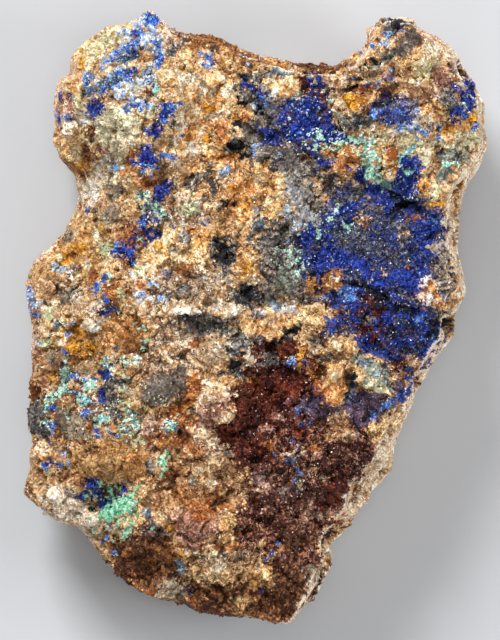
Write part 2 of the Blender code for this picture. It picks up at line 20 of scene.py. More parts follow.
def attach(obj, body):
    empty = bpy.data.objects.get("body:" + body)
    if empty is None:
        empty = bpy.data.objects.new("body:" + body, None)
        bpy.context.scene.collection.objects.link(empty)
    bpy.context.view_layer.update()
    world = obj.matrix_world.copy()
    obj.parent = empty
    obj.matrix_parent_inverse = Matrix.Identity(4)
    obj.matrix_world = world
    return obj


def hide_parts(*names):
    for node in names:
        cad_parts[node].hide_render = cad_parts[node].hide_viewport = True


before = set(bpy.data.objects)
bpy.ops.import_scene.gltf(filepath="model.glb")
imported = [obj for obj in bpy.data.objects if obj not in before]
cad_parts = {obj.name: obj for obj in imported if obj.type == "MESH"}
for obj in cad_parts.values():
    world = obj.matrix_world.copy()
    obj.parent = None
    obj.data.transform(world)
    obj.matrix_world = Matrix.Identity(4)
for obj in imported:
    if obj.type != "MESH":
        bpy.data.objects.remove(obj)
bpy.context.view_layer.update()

METRES = 0.001

# Picture of the face: the specimen's length in millimetres and in pixels, and the pixel over the origin
LENGTH = 90.0
LENGTH_ON_PICTURE = 615.0
MM_PER_PIXEL = LENGTH / LENGTH_ON_PICTURE
PICTURE_X = 255.0
PICTURE_Y = 317.5

# Kinds of mineral: six grain colours, a colour given twice is twice as common, the habit of the grains and
# how rough the surface is. Black, dark and blackblue also serve as painted shadow, and wall and white as
# painted light, where the painting below says so
Kind = namedtuple("Kind", "colours habit rough")
KINDS = {
    "tan": Kind("d8ac79 c3945f a97a4b ecd0a6 d8ac79 845a35", "rock", 1.0),
    "sand": Kind("ebcf9c dcb474 c6924e f8e8c6 a87440 e4c084", "rock", 0.8),
    "orange": Kind("eeb878 e2a45c ce883f f8dcae f0c88e b4702e", "rock", 0.7),
    "ochre": Kind("e29c28 cf8616 eab24a b06e14 e2a030 96601a", "rock", 0.9),
    "cream": Kind("ecd9b8 f6ead2 dcc09a c9a274 fbf4e4 a98259", "rock", 0.9),
    "white": Kind("f7f1e4 fffaf0 e9dcc4 f7efe0 dcc8a8 fffdf8", "rock", 0.8),
    "pinkcream": Kind("dfbd9f ecccae cda584 f4dfc8 b3866a a06d52", "rock", 1.0),
    "rust": Kind("a05a28 8a4a1e b87038 6e3614 a05a28 cc9058", "rock", 1.0),
    "brown": Kind("845028 6a3c1a 9c6434 4e2812 845028 ba8450", "rock", 1.0),
    "darkbrown": Kind("5a321b 421f10 724426 2e150a 5a321b 9c6a42", "rock", 1.1),
    "ochrebrown": Kind("ba884e a06e3a ca9a5c 85582e b4804a d8b07c", "rock", 0.7),
    "pinkbrown": Kind("a67a64 915f4c bc927a 784a3a a67a64 d8b49c", "rock", 1.0),
    "mixed": Kind("d3b18e a8845f 8a5f44 ecdcc2 5c4a3c b78458", "rock", 1.2),
    "maroon": Kind("46140a 340c05 5c2012 240603 46140a 864028", "glitter", 1.3),
    "maroongrain": Kind("54281c 381610 6e3a28 421a10 260c07 b07c60", "glitter", 1.3),
    "purplebrown": Kind("6c4a44 563832 84625a 3e2420 6c4a44 a0857c", "glitter", 1.0),
    "khaki": Kind("cabd9a b4a886 dcd0aa 9c9270 cec29e ece2be", "rock", 0.6),
    "greengrey": Kind("82867a 6c7168 9a9e8e 565b54 868a7c b4b6a2", "rock", 0.6),
    "peach": Kind("eac8a0 dcb284 cc9a6c f6e2c4 e2bc90 b08254", "rock", 0.7),
    "yellowcream": Kind("d8cca4 c8b98c e6dcbc b4a272 d0c094 a08a5c", "rock", 0.6),
    "whiteblue": Kind("e4e8ec c8d8ea f4f2ea a4c4ea e6dccc 8cb0e4", "rock", 0.8),
    "palegreen": Kind("cdd3a4 dfe3bb b7c190 efeccd cdd3a4 b1ad7c", "rock", 0.9),
    "greybrown": Kind("86745f 70604e 9a8870 5a4c3f 86745f b0a086", "rock", 0.4),
    "smoothtan": Kind("b08a60 9c784c bd9a70 8a6844 b08a60 c6a67c", "rock", 0.35),
    "grey": Kind("968f86 aba59b 7a7570 c0b8ac 868079 625e59", "rock", 1.0),
    "lightgrey": Kind("b4b0ac a29ea0 c8c4c0 8f8b8e dcd8d2 b4b0ac", "rock", 1.0),
    "greygrain": Kind("6d625a 54493f 8c8072 3a3331 a8988a 4b4547", "rock", 1.3),
    "dark": Kind("423e3e 312e2f 57524f 221f21 423e3e 80786f", "rock", 0.6),
    "darkgrain": Kind("4c4a4a 36353a 66625f 252428 7e776f a09688", "rock", 1.3),
    "black": Kind("1d1d21 141418 2b2b30 1d1d21 3a3a40 0e0e11", "rock", 1.2),
    "smoothdark": Kind("5f544b 52473f 6f6358 453b35 5f544b 86786b", "rock", 0.4),
    "redmaroon": Kind("4c150a 3a0e06 5f2010 2a0805 4c150a 8a4020", "glitter", 1.2),
    "nodule": Kind("b4783a 9a602a ca8e50 7e481c ac6c30 deb078", "rock", 0.5),
    "blackblue": Kind("15172c 0d0e1e 1e213a 15172c 282c48 090910", "azurite", 1.0),
    "slate": Kind("5f6f80 4a5868 788896 384452 5f6f80 94a2ae", "rock", 0.9),
    "bluegrey": Kind("4c5268 3a3f54 666b80 26284a 8e8a88 343e78", "azurite", 1.0),
    "purplegrey": Kind("776b72 62575f 8e828a 4e454d 776b72 a69aa0", "rock", 0.9),
    "lilac": Kind("928db6 7a76a6 aea9ce 605c98 9f98b4 c4bcd2", "rock", 0.9),
    "violetgrain": Kind("56383e 3c2830 6e5460 2a1820 7a6276 40406c", "glitter", 1.1),
    "warmbrown": Kind("a5754b 885b38 be9064 6a4224 ac7c52 d0a87c", "rock", 1.0),
    "violet": Kind("4b3a72 3a2a56 5d4e9c 68383a 2c1b30 8274b8", "azurite", 1.2),
    "mint": Kind("98dcb2 7acca0 b8ead0 5cb48a d2f4e0 98dcb2", "plate", 1.0),
    "palemint": Kind("ccf0de b0e2c8 e8f9f0 92d2b4 f6fcf8 a6d8c2", "plate", 1.0),
    "mintmix": Kind("c4ead4 9cd4b8 e0f4ea 6eb496 394a72 8c7458", "plate", 1.0),
    "turquoise": Kind("94d6d2 74c6ce b4e6e0 58aec4 d6f4ee 94d6d2", "plate", 1.0),
    "paleblue": Kind("b9cfd8 a3bfcf cfdfe2 8fb0c6 e2ebea b2c4c4", "plate", 1.0),
    "lightblue": Kind("86b0e0 689ade accaec 4a7fd2 dce4ea e0ccaa", "azurite", 1.0),
    "azure": Kind("3568cc 4a86de 2850b2 6ca4ea 1c3e92 a6c2e2", "azurite", 1.0),
    "deepblue": Kind("1f318a 2946ac 141f66 3a5ac6 0e154a 1f318a", "azurite", 1.1),
    "fieldblue": Kind("25358a 3048ae 191f5a 525c8e 5c5f74 17182f", "azurite", 1.1),
    # The pale sides: their own pale colour, made paler still as painted light on sides that face away from
    # the key light
    "wall": Kind("f2e0c6 e6cfb0 f8ecda d2b290 eed8bc bc9874", "rock", 0.6),
}
KIND_NAMES = list(KINDS)
FIRST_KIND = "tan"
FIRST_WALL_KIND = "wall"

# An oval on the picture: its middle, half sizes, turn in degrees and how far the rock rises there
Oval = namedtuple("Oval", "x y half_width half_height turn rise", defaults=(0.0, 0.0))

# What the face shows, painted in this order over the first kind
PAINTING = [
    # Broad ground of the whole face
    ("sand", [(112, 72, 62, 62), (205, 88, 58, 40), (172, 245, 34, 34), (98, 258, 26, 22)]),
    ("peach", [(186, 134, 26, 40), (150, 290, 26, 26), (60, 310, 30, 34)]),
    ("warmbrown", [(205, 478, 46, 34), (195, 530, 30, 20), (48, 344, 30, 30)]),
    ("orange", [(226, 130, 30, 42), (262, 190, 34, 26), (205, 235, 22, 12)]),
    ("mixed", [(190, 290, 45, 26), (170, 350, 40, 30), (205, 430, 34, 22), (225, 550, 40, 14)]),
    ("mixed", [(180, 212, 24, 18)]),
    ("greygrain", [(262, 122, 24, 46), (300, 150, 36, 30), (318, 195, 30, 24), (294, 255, 40, 44)]),
    ("grey", [(302, 196, 17, 24)]),
    ("darkgrain", [(252, 296, 26, 12), (222, 328, 20, 11), (240, 350, 14, 18)]),
    ("greygrain", [(280, 246, 24, 16)]),
    ("greengrey", [(282, 284, 11, 13)]),
    ("fieldblue", [(372, 252, 76, 58), (315, 245, 20, 34), (398, 330, 50, 34), (398, 200, 34, 18)]),
    ("maroon", [(280, 378, 44, 38), (290, 440, 60, 44), (235, 430, 20, 18), (372, 312, 20, 18)]),
    ("maroongrain", [(330, 450, 52, 38), (296, 500, 52, 44), (268, 525, 40, 30), (300, 575, 28, 34)]),
    ("violetgrain", [(318, 404, 18, 14), (362, 408, 30, 14, 20)]),
    ("pinkbrown", [(196, 522, 26, 24), (320, 515, 26, 12), (165, 435, 26, 16)]),
    ("darkbrown", [(148, 562, 40, 34, -30), (215, 596, 40, 18), (275, 600, 34, 24), (300, 545, 16, 14)]),
    ("ochrebrown", [(72, 250, 36, 34), (110, 462, 46, 20), (75, 152, 18, 22), (48, 265, 18, 14)]),
    ("ochrebrown", [(84, 340, 36, 26), (118, 330, 16, 22)]),
    ("brown", [(75, 415, 24, 26), (165, 556, 16, 16)]),
    ("warmbrown", [(40, 376, 12, 22)]),
    ("ochrebrown", [(132, 334, 20, 18)]),
    ("rust", [(36, 390, 7, 10), (170, 440, 26, 8), (192, 392, 10, 16)]),
    ("tan", [(398, 75, 46, 40), (240, 62, 34, 10), (86, 300, 22, 14)]),
    # Upper left lobe
    ("yellowcream", [(100, 43, 22, 10, 42), (90, 56, 10, 9), (148, 113, 9, 6), (80, 104, 6, 8)]),
    ("khaki", [(115, 28, 9, 5, 30), (108, 36, 10, 4, 38), (119, 130, 26, 24), (112, 164, 14, 16)]),
    ("palegreen", [(105, 38, 8, 3, 38), (131, 90, 13, 9)]),
    ("ochre", [(82, 61, 4, 9), (77, 166, 8, 5, 30)]),
    ("tan", [(75, 62, 5, 10), (133, 204, 9, 16)]),
    ("peach", [(102, 72, 11, 9), (144, 62, 9, 9), (75, 77, 10, 11), (97, 80, 5, 5), (133, 100, 9, 3)]),
    ("peach", [(72, 124, 12, 8), (66, 136, 10, 12)]),
    ("sand", [(70, 150, 14, 12), (82, 140, 8, 12), (134, 202, 7, 12)]),
    ("cream", [(149, 12, 4, 2), (84, 118, 9, 10), (91, 188, 10, 18), (100, 170, 10, 18, -25)]),
    ("cream", [(66, 126, 8, 7), (113, 133, 5, 4), (110, 172, 8, 6), (74, 90, 8, 3), (128, 142, 6, 5)]),
    ("white", [(92, 190, 5, 7), (108, 160, 4, 5), (98, 174, 3, 6, -25), (86, 120, 4, 5)]),
    ("pinkcream", [(62, 128, 5, 6), (168, 38, 14, 9), (180, 40, 8, 5)]),
    ("pinkbrown", [(63, 80, 5, 5), (69, 108, 6, 5), (108, 148, 4, 4), (80, 203, 3, 6), (98, 200, 5, 4)]),
    ("whiteblue", [(139, 22, 6, 7), (125, 33, 7, 5), (157, 48, 5, 17), (148, 38, 12, 6)]),
    ("whiteblue", [(111, 54, 2, 12, -52), (121, 92, 5, 8), (138, 84, 16, 5), (150, 68, 5, 7)]),
    ("whiteblue", [(140, 101, 16, 2.5)]),
    ("cream", [(140, 96, 14, 3), (150, 100, 8, 4), (128, 114, 8, 2.5), (60, 88, 4, 8)]),
    ("azure", [(150, 22, 6, 10), (136, 33, 8, 3, 12), (125, 49, 16, 5, 36), (112, 60, 9, 3, 48)]),
    ("azure", [(138, 107, 14, 3.5), (154, 42, 3, 6), (158, 56, 4, 5), (157, 66, 4, 4)]),
    ("lightblue", [(104, 67, 5, 2, 48), (122, 44, 5, 2), (127, 31, 4, 2), (87, 79, 3.5, 7)]),
    ("lightblue", [(118, 77, 9, 4, 20), (144, 75, 5, 3.5), (150, 82, 8, 2.5), (162, 76, 5, 2)]),
    ("lightblue", [(130, 40, 4, 2), (152, 30, 4, 4)]),
    ("orange", [(135, 37, 4, 2.5), (146, 60, 5, 6), (97, 74, 5, 4), (75, 90, 5, 3), (168, 60, 8, 3)]),
    ("deepblue", [(126, 51, 9, 3, 34), (131, 75, 6, 4), (97, 109, 10, 7), (92, 90, 8, 4), (154, 86, 2, 2)]),
    ("slate", [(130, 57, 18, 4, 32), (104, 87, 24, 6, 20), (120, 77, 5, 3), (150, 50, 8, 2, 35)]),
    ("dark", [(141, 50, 9, 2, 36, -0.4), (134, 76, 3, 3), (170, 53, 6, 5, 40), (84, 93, 2.5, 8, 0, -0.5)]),
    ("dark", [(148, 76, 2, 3.5), (108, 84, 6, 2, 25), (93, 138, 2, 9, -15, -0.5), (112, 98, 2, 2)]),
    ("turquoise", [(157, 91, 3, 5), (125, 170, 2.5, 2.5)]),
    ("lightblue", [(117, 166, 3, 3), (87, 118, 2, 2)]),
    ("rust", [(148, 92, 4, 4), (170, 92, 4, 6), (134, 158, 6, 10), (131, 171, 7, 5)]),
    ("white", [(139, 20, 2, 3), (163, 41, 4, 5), (125, 87, 4, 3), (150, 64, 3, 2)]),
    ("lilac", [(60, 92, 5, 6), (59, 113, 3, 8)]),
    ("violet", [(65, 97, 4, 4), (60, 116, 2, 4)]),
    ("grey", [(71, 98, 4, 4)]),
    ("azure", [(69, 117, 3, 4), (89, 208, 3, 4), (85, 86, 2, 4), (59, 118, 2, 3)]),
    ("brown", [(88, 156, 7, 6, 0, -0.2), (84, 172, 3, 5)]),
    ("darkbrown", [(88, 149, 7, 3), (92, 129, 3, 5, 0, -0.6), (101, 145, 3, 3)]),
    ("palegreen", [(129, 179, 4, 3)]),
    ("greybrown", [(115, 188, 10, 12), (112, 212, 9, 13), (103, 222, 5, 10)]),
    ("dark", [(122, 192, 3, 3), (97, 221, 2, 3)]),
    # Seam of blue and green down the left side
    ("deepblue", [(168, 111, 12, 5, 20), (156, 133, 8, 8), (148, 160, 8, 12), (163, 191, 13, 7, 25)]),
    ("azure", [(174, 107, 8, 4, 15), (163, 120, 3, 8), (167, 155, 10, 3), (150, 171, 7, 7)]),
    ("cream", [(148, 170, 3.5, 2), (150, 220, 3, 4)]),
    ("rust", [(150, 185, 9, 6, 0, -0.3), (132, 236, 12, 12), (140, 208, 4, 5), (152, 178, 8, 3)]),
    ("brown", [(128, 232, 7, 7)]),
    ("mintmix", [(150, 207, 10, 5, -20), (158, 213, 6, 4), (141, 197, 5, 5)]),
    ("palegreen", [(97, 237, 2.5, 9), (105, 247, 8, 5), (109, 253, 6, 4)]),
    ("deepblue", [(158, 200, 6, 4), (144, 221, 6, 8), (150, 235, 9, 6, 20), (120, 249, 6, 9)]),
    ("deepblue", [(130, 256, 7, 4)]),
    ("azure", [(141, 222, 4, 5), (119, 246, 3, 5), (134, 261, 3, 2)]),
    ("mintmix", [(142, 239, 3, 3)]),
    ("ochre", [(105, 229, 10, 2.5, -60)]),
    ("sand", [(110, 238, 6, 3, -50)]),
    ("grey", [(160, 220, 6, 4)]),
    # Upper edge and the sandy ground under it
    ("sand", [(196, 78, 40, 22), (182, 66, 20, 12)]),
    ("brown", [(212, 40, 24, 7), (184, 38, 9, 5), (245, 51, 14, 3, -25)]),
    ("ochrebrown", [(254, 63, 42, 6, -4), (232, 56, 24, 5, -15)]),
    ("orange", [(228, 68, 18, 4), (262, 60, 24, 2, -8), (224, 50, 12, 2, -15)]),
    ("darkbrown", [(249, 64, 14, 1.3, -4, -0.3), (226, 44, 5, 3), (216, 38, 4, 2), (232, 42, 3, 2)]),
    ("darkbrown", [(330, 70, 16, 6), (306, 63, 20, 4, -6)]),
    ("cream", [(170, 28, 5, 3), (184, 78, 12, 7), (212, 92, 12, 5)]),
    ("tan", [(222, 62, 20, 9, -12), (196, 60, 8, 8), (236, 74, 14, 6), (206, 72, 8, 4)]),
    ("brown", [(218, 46, 18, 5, -12), (240, 58, 12, 3, -15), (196, 46, 8, 4)]),
    ("cream", [(228, 92, 8, 5), (216, 102, 10, 4)]),
    ("peach", [(176, 92, 12, 5), (204, 88, 14, 3)]),
    ("whiteblue", [(240, 56, 11, 1.6, -17), (262, 57, 4, 1.2), (178, 44, 8, 2.5, 35)]),
    ("whiteblue", [(208, 68, 8, 1.8, -52)]),
    ("azure", [(202, 53, 2.5, 4, 20), (208, 58, 10, 2.4, -48), (207, 68, 6, 1.6, -52)]),
    ("deepblue", [(213, 63, 3, 3), (203, 51, 2, 2)]),
    ("dark", [(211, 50, 4, 2), (178, 46, 5, 2, 30), (262, 75, 12, 5), (248, 77, 6, 5), (235, 88, 5, 4)]),
    ("greygrain", [(250, 104, 16, 14), (258, 118, 16, 18), (240, 98, 8, 6), (292, 106, 12, 7)]),
    ("slate", [(281, 73, 15, 3.5, 0, -0.3), (262, 104, 8, 10)]),
    ("darkgrain", [(242, 104, 8, 8), (268, 108, 8, 9), (256, 84, 8, 4)]),
    ("deepblue", [(245, 85, 5, 4), (253, 89, 7, 3, -20), (264, 96, 5, 8, 10)]),
    ("azure", [(265, 98, 3, 4), (244, 82, 2, 2)]),
    ("orange", [(267, 82, 3, 4)]),
    ("sand", [(287, 88, 16, 9, 0, 0.2)]),
    ("white", [(274, 94, 4, 3), (257, 84, 2, 2), (253, 78, 1.8, 1.5), (255, 107, 3, 2), (300, 92, 4, 3)]),
    ("maroon", [(311, 84, 11, 12), (316, 101, 6, 6)]),
    ("pinkcream", [(327, 84, 13, 6, -35), (300, 95, 8, 5)]),
    ("deepblue", [(315, 82, 8, 7)]),
    ("orange", [(222, 110, 24, 12), (208, 132, 19, 24), (244, 116, 9, 7), (206, 152, 14, 8)]),
    ("orange", [(186, 100, 12, 5)]),
    ("sand", [(182, 132, 16, 24), (190, 112, 14, 6), (210, 146, 7, 7), (170, 142, 6, 9)]),
    ("peach", [(212, 114, 12, 8), (196, 142, 8, 12), (176, 148, 5, 7)]),
    ("sand", [(174, 140, 10, 14), (192, 128, 5, 12), (232, 108, 7, 6)]),
    ("orange", [(188, 138, 10, 16)]),
    ("cream", [(168, 162, 8, 5), (212, 116, 8, 5), (192, 150, 5, 9), (234, 96, 6, 3), (181, 124, 8, 8)]),
    ("cream", [(176, 142, 5, 7)]),
    ("ochre", [(208, 108, 8, 4), (206, 140, 5, 5)]),
    ("rust", [(219, 131, 7, 7), (218, 142, 6, 4), (224, 159, 20, 2.5), (244, 119, 6, 3)]),
    ("dark", [(223, 104, 3, 2.2), (205, 172, 6, 8), (215, 187, 4, 8), (206, 199, 5, 4), (173, 125, 4, 2.5)]),
    ("violet", [(196, 98, 2.5, 2.5)]),
    ("darkgrain", [(236, 148, 11, 7, 0, -0.3)]),
    ("black", [(236, 124, 6, 5, 0, -0.4), (232, 132, 4, 3), (234, 146, 8, 4, 0, -0.4), (244, 155, 5, 3)]),
    ("black", [(221, 171, 4, 3), (250, 160, 5, 2.5)]),
    ("cream", [(237, 137, 5, 2.5), (231, 185, 10, 7), (222, 178, 4, 3)]),
    ("white", [(233, 130, 2.8, 1.5, 35), (228, 151, 3.5, 3), (215, 202, 2, 2.5)]),
    ("lightblue", [(254, 146, 3, 6), (256, 154, 3, 3), (227, 171, 5, 4), (282, 158, 3, 3)]),
    ("orange", [(260, 178, 26, 15), (242, 202, 18, 13), (196, 168, 10, 5), (250, 222, 8, 8)]),
    ("sand", [(256, 180, 14, 6), (270, 206, 12, 8), (283, 196, 8, 5)]),
    ("ochre", [(248, 206, 8, 6), (232, 188, 5, 3)]),
    ("black", [(228, 203, 7, 5, 0, -0.5)]),
    ("dark", [(272, 171, 4, 5), (288, 165, 14, 9), (219, 206, 4, 3)]),
    ("greygrain", [(192, 184, 10, 8), (174, 188, 5, 3)]),
    ("grey", [(304, 206, 17, 22), (296, 180, 10, 10), (296, 226, 10, 8)]),
    ("lightgrey", [(297, 196, 7, 9), (308, 216, 9, 9), (292, 232, 8, 5), (286, 214, 5, 5)]),
    ("greygrain", [(300, 224, 5, 5), (314, 206, 5, 5)]),
    ("peach", [(292, 208, 4, 4), (304, 182, 4, 3)]),
    ("whiteblue", [(288, 190, 3, 5), (296, 222, 4, 3), (306, 206, 4, 3), (300, 236, 3, 3)]),
    ("greygrain", [(316, 196, 8, 12)]),
    ("peach", [(326, 200, 7, 4), (318, 186, 4, 9)]),
    ("palegreen", [(188, 209, 8, 6)]),
    ("cream", [(196, 202, 4, 4), (180, 224, 5, 5)]),
    ("lilac", [(205, 222, 8, 3, 20)]),
    ("paleblue", [(287, 206, 2, 3)]),
    # Upper druse
    ("deepblue", [(306, 118, 28, 20), (324, 132, 16, 12), (296, 132, 20, 12), (268, 136, 13, 7, -25)]),
    ("deepblue", [(318, 152, 10, 6), (326, 164, 9, 4), (342, 135, 10, 7)]),
    ("violetgrain", [(300, 146, 10, 5), (290, 118, 6, 9), (324, 118, 5, 8)]),
    ("maroon", [(322, 98, 7, 4), (306, 156, 7, 4), (336, 152, 5, 5)]),
    ("palemint", [(320, 138, 5, 1.5), (316, 150, 2, 3), (330, 100, 1.6, 4), (345, 143, 8, 1.6, 12)]),
    # Upper right lobe
    ("tan", [(390, 33, 27, 15)]),
    ("peach", [(339, 112, 6, 17, 5, 0.2), (348, 131, 9, 2, -35)]),
    ("deepblue", [(338, 136, 12, 7, -15), (350, 142, 8, 3, -20)]),
    ("dark", [(388, 29, 15, 9, 25), (405, 25, 8, 7)]),
    ("peach", [(377, 34, 5, 4), (394, 43, 7, 2.5, 30), (368, 36, 4, 5)]),
    ("cream", [(410, 18, 6, 1, -30), (380, 39, 4, 2)]),
    ("orange", [(368, 38, 2.5, 4), (358, 57, 14, 5, 28), (370, 56, 6, 4), (346, 74, 14, 6, 18)]),
    ("orange", [(396, 44, 6, 3)]),
    ("black", [(393, 25, 5, 7), (405, 23, 4, 5), (395, 36, 4, 3), (370, 43, 2.5, 3), (377, 27, 3, 3)]),
    ("black", [(383, 22, 3, 3)]),
    ("lightblue", [(386, 35, 4.5, 4), (387, 44, 3, 2.5), (379, 47, 5, 2, 19), (368, 50, 7, 1.8, 10)]),
    ("lightblue", [(387, 20, 2, 2), (355, 67, 4, 2.5), (354, 60, 2, 2)]),
    ("lilac", [(403, 33, 4, 2.5, 20), (391, 46, 2, 3)]),
    ("cream", [(388, 49, 13, 1.8, 38, 0.2), (374, 70, 9, 2.5, 25), (352, 76, 14, 3, 16, 0.2)]),
    ("cream", [(384, 63, 8, 2, 30)]),
    ("darkgrain", [(390, 54, 13, 3.5, 33, -0.4), (374, 65, 8, 4, 40, -0.3)]),
    ("black", [(370, 62, 2.5, 4, 0, -0.4), (364, 67, 4, 2.5), (353, 79, 5, 1.5, 10)]),
    ("greengrey", [(374, 67, 4, 3, 30), (386, 59, 8, 2.5, 30)]),
    ("smoothdark", [(411, 42, 13, 9, 25), (415, 32, 7, 5), (402, 51, 8, 6, 25)]),
    ("rust", [(424, 42, 3, 6, 10), (418, 52, 4, 6), (368, 94, 10, 7)]),
    ("warmbrown", [(392, 88, 12, 6), (411, 91, 16, 8), (396, 67, 18, 7), (412, 76, 8, 8), (388, 76, 8, 4)]),
    ("warmbrown", [(424, 94, 12, 10)]),
    ("orange", [(420, 55, 3, 6, 20), (402, 66, 8, 4), (428, 108, 12, 5), (428, 118, 14, 7)]),
    ("khaki", [(436, 50, 14, 14, -30), (452, 52, 6, 4, -45)]),
    ("cream", [(432, 44, 8, 7, -30), (442, 56, 7, 7), (460, 62, 5, 7), (428, 60, 5, 6)]),
    ("yellowcream", [(425, 68, 11, 8, 30), (416, 82, 10, 3, 15)]),
    ("white", [(422, 64, 3, 2, 40), (416, 84, 5, 1.5, 15)]),
    ("greengrey", [(427, 73, 4, 1.5, 20)]),
    ("pinkbrown", [(443, 80, 9, 11), (438, 94, 8, 6), (436, 70, 6, 5)]),
    ("purplebrown", [(455, 67, 9, 6, -20)]),
    ("purplegrey", [(374, 83, 11, 3, 10)]),
    ("black", [(349, 89, 9, 3.5, 15, -0.7)]),
    ("violet", [(388, 79, 6, 2.5), (364, 85, 3, 2)]),
    ("lightblue", [(393, 81, 3, 2.5), (418, 113, 3, 3), (440, 126, 2.5, 4, 30)]),
    ("darkgrain", [(444, 96, 7, 10), (448, 111, 8, 6), (360, 124, 16, 8, 0, -0.3)]),
    ("deepblue", [(463, 83, 9, 9), (466, 98, 11, 13), (457, 110, 6, 5)]),
    ("mintmix", [(461, 105, 2.5, 2.5)]),
    ("warmbrown", [(388, 94, 22, 8)]),
    ("purplegrey", [(398, 102, 16, 6), (412, 106, 8, 7)]),
    ("bluegrey", [(392, 113, 23, 12)]),
    ("fieldblue", [(386, 118, 14, 7), (370, 110, 5, 6), (404, 120, 9, 4)]),
    ("violet", [(386, 98, 5, 3), (404, 104, 5, 3), (376, 88, 4, 2)]),
    ("lilac", [(398, 106, 9, 3), (410, 112, 5, 4), (378, 102, 4, 3)]),
    ("orange", [(374, 97, 4, 3), (398, 92, 5, 2.5)]),
    ("cream", [(404, 98, 4, 2), (366, 84, 5, 1.5, 10)]),
    ("azure", [(374, 116, 4, 3), (400, 112, 4, 2), (388, 123, 6, 2), (437, 127, 3, 3)]),
    ("ochre", [(351, 105, 7, 10, 30, 0.3), (452, 132, 11, 5), (470, 119, 7, 4)]),
    ("rust", [(363, 108, 5, 6)]),
    ("darkbrown", [(346, 109, 3, 3, 0, -0.8)]),
    ("orange", [(479, 113, 5, 15), (462, 126, 8, 4)]),
    ("cream", [(420, 122, 12, 5), (398, 137, 16, 4.5), (414, 138, 12, 5), (434, 146, 6, 3)]),
    ("lightblue", [(402, 127, 9, 3, -8), (416, 130, 8, 3, -12), (438, 138, 5, 1.5, 35)]),
    ("whiteblue", [(410, 125, 8, 2.5), (425, 133, 8, 2.5), (400, 132, 7, 2.5)]),
    ("azure", [(425, 133, 4, 1.5), (463, 117, 5, 2, 40), (475, 127, 3.2, 3.2)]),
    ("khaki", [(405, 144, 22, 8), (472, 140, 10, 10), (386, 142, 10, 5), (462, 136, 10, 5)]),
    ("yellowcream", [(402, 142, 14, 5), (378, 136, 8, 4)]),
    ("cream", [(374, 134, 6, 4), (394, 139, 9, 3), (424, 158, 7, 12, 10, 0.2)]),
    ("sand", [(386, 150, 8, 8, 0, 0.2), (419, 151, 6, 4)]),
    ("nodule", [(388, 167, 9, 12, 0, 0.4), (347, 161, 13, 12, 0, 0.3), (325, 150, 5, 6, 0, 0.2)]),
    ("rust", [(390, 160, 4, 5), (341, 165, 5, 5), (354, 160, 4, 3)]),
    ("orange", [(346, 151, 8, 3), (384, 157, 4, 5), (352, 168, 3, 4)]),
    ("darkbrown", [(348, 158, 4, 2)]),
    ("greengrey", [(452, 155, 17, 11), (443, 174, 8, 10)]),
    ("khaki", [(464, 150, 8, 6), (446, 146, 8, 3)]),
    ("dark", [(440, 152, 5, 3), (456, 158, 4, 3), (448, 181, 4, 3)]),
    ("palemint", [(446, 164, 4, 3), (454, 163, 3, 1.8)]),
    ("deepblue", [(406, 180, 13, 24), (415, 168, 7, 10), (360, 172, 7, 9), (372, 188, 10, 6)]),
    ("turquoise", [(405, 154, 8, 2.5, 35), (398, 162, 1.8, 7)]),
    ("mintmix", [(409, 157, 3, 3), (408, 172, 3, 4)]),
    ("palemint", [(368, 148, 5, 11, -10, 0.15), (371, 166, 7, 16, 0, 0.15), (380, 182, 10, 5, -38)]),
    ("palemint", [(390, 190, 4, 6), (362, 140, 5, 4)]),
    ("sand", [(384, 149, 8, 5), (390, 172, 3, 5), (352, 150, 4, 3)]),
    ("yellowcream", [(424, 160, 6, 9)]),
    ("ochre", [(423, 184, 5, 15, 8, 0.25), (434, 203, 10, 4.5, -10, 0.25)]),
    ("orange", [(424, 178, 4, 6)]),
    ("palegreen", [(434, 190, 4, 7, 0, 0.25)]),
    # Painted shadow in the pocket under the orange nodule, over a real hollow
    ("black", [(403, 205, 14, 5, 15, -1), (392, 196, 5, 4, 0, -0.6)]),
    ("tan", [(466, 178, 4, 14, -30)]),
    ("wall", [(450, 228, 11, 36), (459, 283, 3.5, 16), (478, 164, 4, 15, -25)]),
    # Painted light: the right flank painted white where the key light leaves it in shade
    ("white", [(449, 222, 6, 26)]),
    ("peach", [(451, 181, 5, 6), (456, 305, 4, 10), (452, 206, 6, 8)]),
    ("wall", [(484, 120, 4, 26), (478, 100, 5, 14)]),
    ("brown", [(458, 189, 11, 4, 50, -0.5), (450, 199, 5, 2, 20, -0.3), (454, 240, 2, 6), (457, 262, 2, 5)]),
    ("rust", [(459, 290, 1.5, 5), (466, 170, 5, 2, 45)]),
    # Main blue field
    ("deepblue", [(328, 259, 22, 20), (386, 286, 36, 12), (428, 228, 11, 22), (404, 272, 22, 14)]),
    ("wall", [(450, 224, 6, 27)]),
    ("brown", [(454, 240, 1.5, 6)]),
    ("deepblue", [(306, 235, 7, 12), (355, 268, 16, 12), (350, 208, 12, 6), (385, 200, 9, 8)]),
    ("bluegrey", [(352, 240, 22, 14), (386, 222, 20, 10), (374, 245, 18, 9), (350, 276, 10, 6)]),
    ("bluegrey", [(396, 258, 14, 6)]),
    ("greygrain", [(403, 236, 6, 14), (386, 270, 6, 3), (315, 249, 6, 5), (372, 208, 14, 5)]),
    ("darkgrain", [(352, 192, 15, 9), (340, 200, 8, 6)]),
    ("tan", [(366, 221, 8, 7, 0, 0.4)]),
    ("rust", [(412, 219, 9, 2), (408, 267, 3.5, 3), (369, 224, 4, 5)]),
    ("greygrain", [(438, 262, 10, 12), (442, 284, 7, 12), (438, 314, 16, 8)]),
    ("darkgrain", [(392, 250, 10, 5), (374, 230, 8, 4), (344, 246, 5, 6)]),
    ("pinkcream", [(372, 267, 3, 2.5), (383, 272, 3, 2), (428, 290, 12, 17, 0, 0.2), (404, 234, 2.5, 4)]),
    ("cream", [(368, 282, 4, 2)]),
